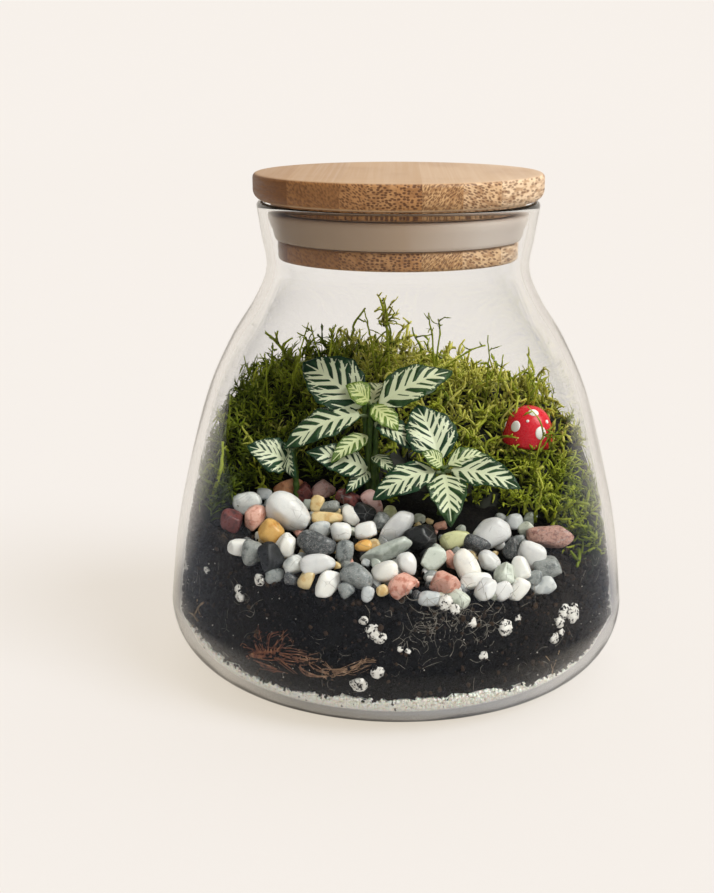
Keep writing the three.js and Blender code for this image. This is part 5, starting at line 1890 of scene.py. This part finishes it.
def model_shoots(low, high, count, seed):
    """The shoots that the model has on a clump: root, middle, tip and radius."""
    draw = drawn(seed)
    left, right = max(low, -SHOOT_HALF), min(high, SHOOT_HALF)
    shoots = []
    while len(shoots) < count:
        x = left + (right - left) * next(draw)
        y = SHOOT_FRONT + SHOOT_DEPTH * next(draw)
        z = float(moss_height(x, y))
        bend_x, bend_y, size, thick = (next(draw) for _ in range(4))
        ring = SHOOT_RING - SHOOT_TAPER * max(0, z - SHOOT_TAPER_FROM)
        seam = min(x - low, high - x) < MOSS_SEAM
        if z < soil_height(x, y) + 2 * SHOOT_ROOT or math.hypot(x, y) > ring or seam:
            continue
        length = 16 + 8 * thick if size > SHOOT_TALL else 6 + 4 * size
        root = np.array([x, y, z - SHOOT_ROOT])
        middle = root + unit((bend_x - 0.5, bend_y - 0.6, 1.1)) * length * 0.55
        tip = middle + unit((bend_y - 0.5, bend_x - 0.5, 0.9)) * length * 0.45
        shoots.append((root, middle, tip, 0.45 + 0.2 * thick))
    return shoots


def shoot_parts(low, high, count, number):
    """A winding, leafy strand for each of the model's shoots."""
    random = rng("shoots", number)
    parts = []
    for root, middle, tip, radius in model_shoots(low, high, count, SEEDS["shoots"] + number):
        parts += winding(random, [root, middle, tip], radius, random.uniform(0.35, 0.85))
    return parts


def twig_parts(random, path, radius, tint):
    """Small winding strands that leave a long one."""
    twigs = []
    for k in random.choice(np.arange(3, len(path) - 1), 4, replace=False):
        out = unit(random.normal(size=3) + (0, 0, 0.6))
        strand(twigs, random, path[k], out, random.uniform(2, 5.5), THINNER * radius, 0.4, 0.35, 0)
    return [(points, faces, {**values, "tint": tint}) for points, faces, values in twigs]


def winding(random, stops, radius, tint):
    """A long strand through some points, that wavers and carries twigs."""
    count = WINDING_POINTS
    path = spline_points(stops, count)
    waver = np.cumsum(random.normal(0, 0.25, (count - 2, 3)), axis=0)
    path[1:-1] += waver * np.sin(np.linspace(0.2, 2.9, count - 2))[:, None]
    radii = radius * np.linspace(1.1, 0.6, count) * (1 + 0.2 * random.uniform(-1, 1, count))
    shade = np.concatenate([np.repeat(np.linspace(0.5, 0.9, count), 6), [0.5, 0.9]])
    main = (*tube_grid(path, radii, 6), {"reach": shade, "tint": tint})
    return [main] + twig_parts(random, path, radius, tint)


def single_strands(low, high):
    """The strands of the list whose roots lie between two values of X, and some that arch over the moss."""
    random = rng("single strands")
    parts = []
    for tip, root, radius in MOSS_STRANDS:
        tip, root = np.array(tip, float), np.array(root, float)
        root[2] = min(root[2], moss_height(*root[:2]) - 1)
        bow = np.array([0, 0, STRAND_ARCH * np.linalg.norm(tip - root)])
        some = winding(random, [root, (root + tip) / 2 + bow, tip], radius, random.uniform(0.4, 0.7))
        parts += some if low < root[0] < high else []
    for _ in range(LOOPS):
        x, y = random.uniform(-44, 50), random.uniform(-8, 26)
        start = np.array([x, y, moss_height(x, y) - 2])
        x, y = x + random.uniform(-12, 12), y + random.uniform(-6, 4)
        end = np.array([x, y, moss_height(x, y) + random.uniform(-1, 3)])
        top = (start + end) / 2 + (0, 0, random.uniform(4, 9))
        some = winding(random, [start, top, end], random.uniform(0.28, 0.45), random.uniform(0.5, 0.95))
        parts += some if low < start[0] < high else []
    return parts


def cap_grass():
    """Strands that stand round the toadstool and hide its foot."""
    random = rng("grass")
    parts = []
    for k in range(CAP_GRASS):
        angle = k / CAP_GRASS * TURN + random.uniform(-0.1, 0.1)
        place = spin(angle, CAP_RADIUS + random.uniform(-2.5, 2.5), 0) + (*TOADSTOOL, 0)
        place[2] = soil_height(*place[:2])
        rise = CAP_RIM + random.uniform(0, 4.5) + 4.5 * max(0, -math.sin(angle)) - place[2]
        strand(parts, random, place, spin(angle, 0.25, 1), rise, 0.42, 0.2, 0.35, 2)
    return [(points, faces, {**v, "tint": random.uniform(0.45, 0.8)}) for points, faces, v in parts]


def make_moss():
    material = moss_material()
    for n, (node, low, high, shoots, stars, strings, tall, lightness) in enumerate(MOSS_CLUMPS):
        carpet = [moss_core(node)] + clump_parts(node, n, star_shoot, "stars", stars, lightness)
        dress(node.replace("moss", "moss_carpet"), carpet, material, "moss", node)
        loose = clump_parts(node, n, string_shoot, "strings", strings, lightness + STRAND_LIGHTER)
        loose += clump_parts(node, n, tall_shoot, "tall", tall, lightness + STRAND_LIGHTER)
        single = shoot_parts(low, high, shoots, n) + single_strands(low, high)
        if node == "moss_right":
            single += cap_grass()
        strands = loose + inside_parts(single, MOSS_CLEAR)
        dress(node.replace("moss", "moss_strands"), strands, material, "moss", node)


# ------------------------------------------------------------------ the whole

make_stage()
lamps = make_light()
make_camera()
set_colours()
keep_off(lamps, make_jar())
make_lid()
make_seal()
make_sand()
make_soil()
make_perlite()
make_roots()
make_pebbles()
make_plants()
make_cap()
make_stalk()
make_moss()
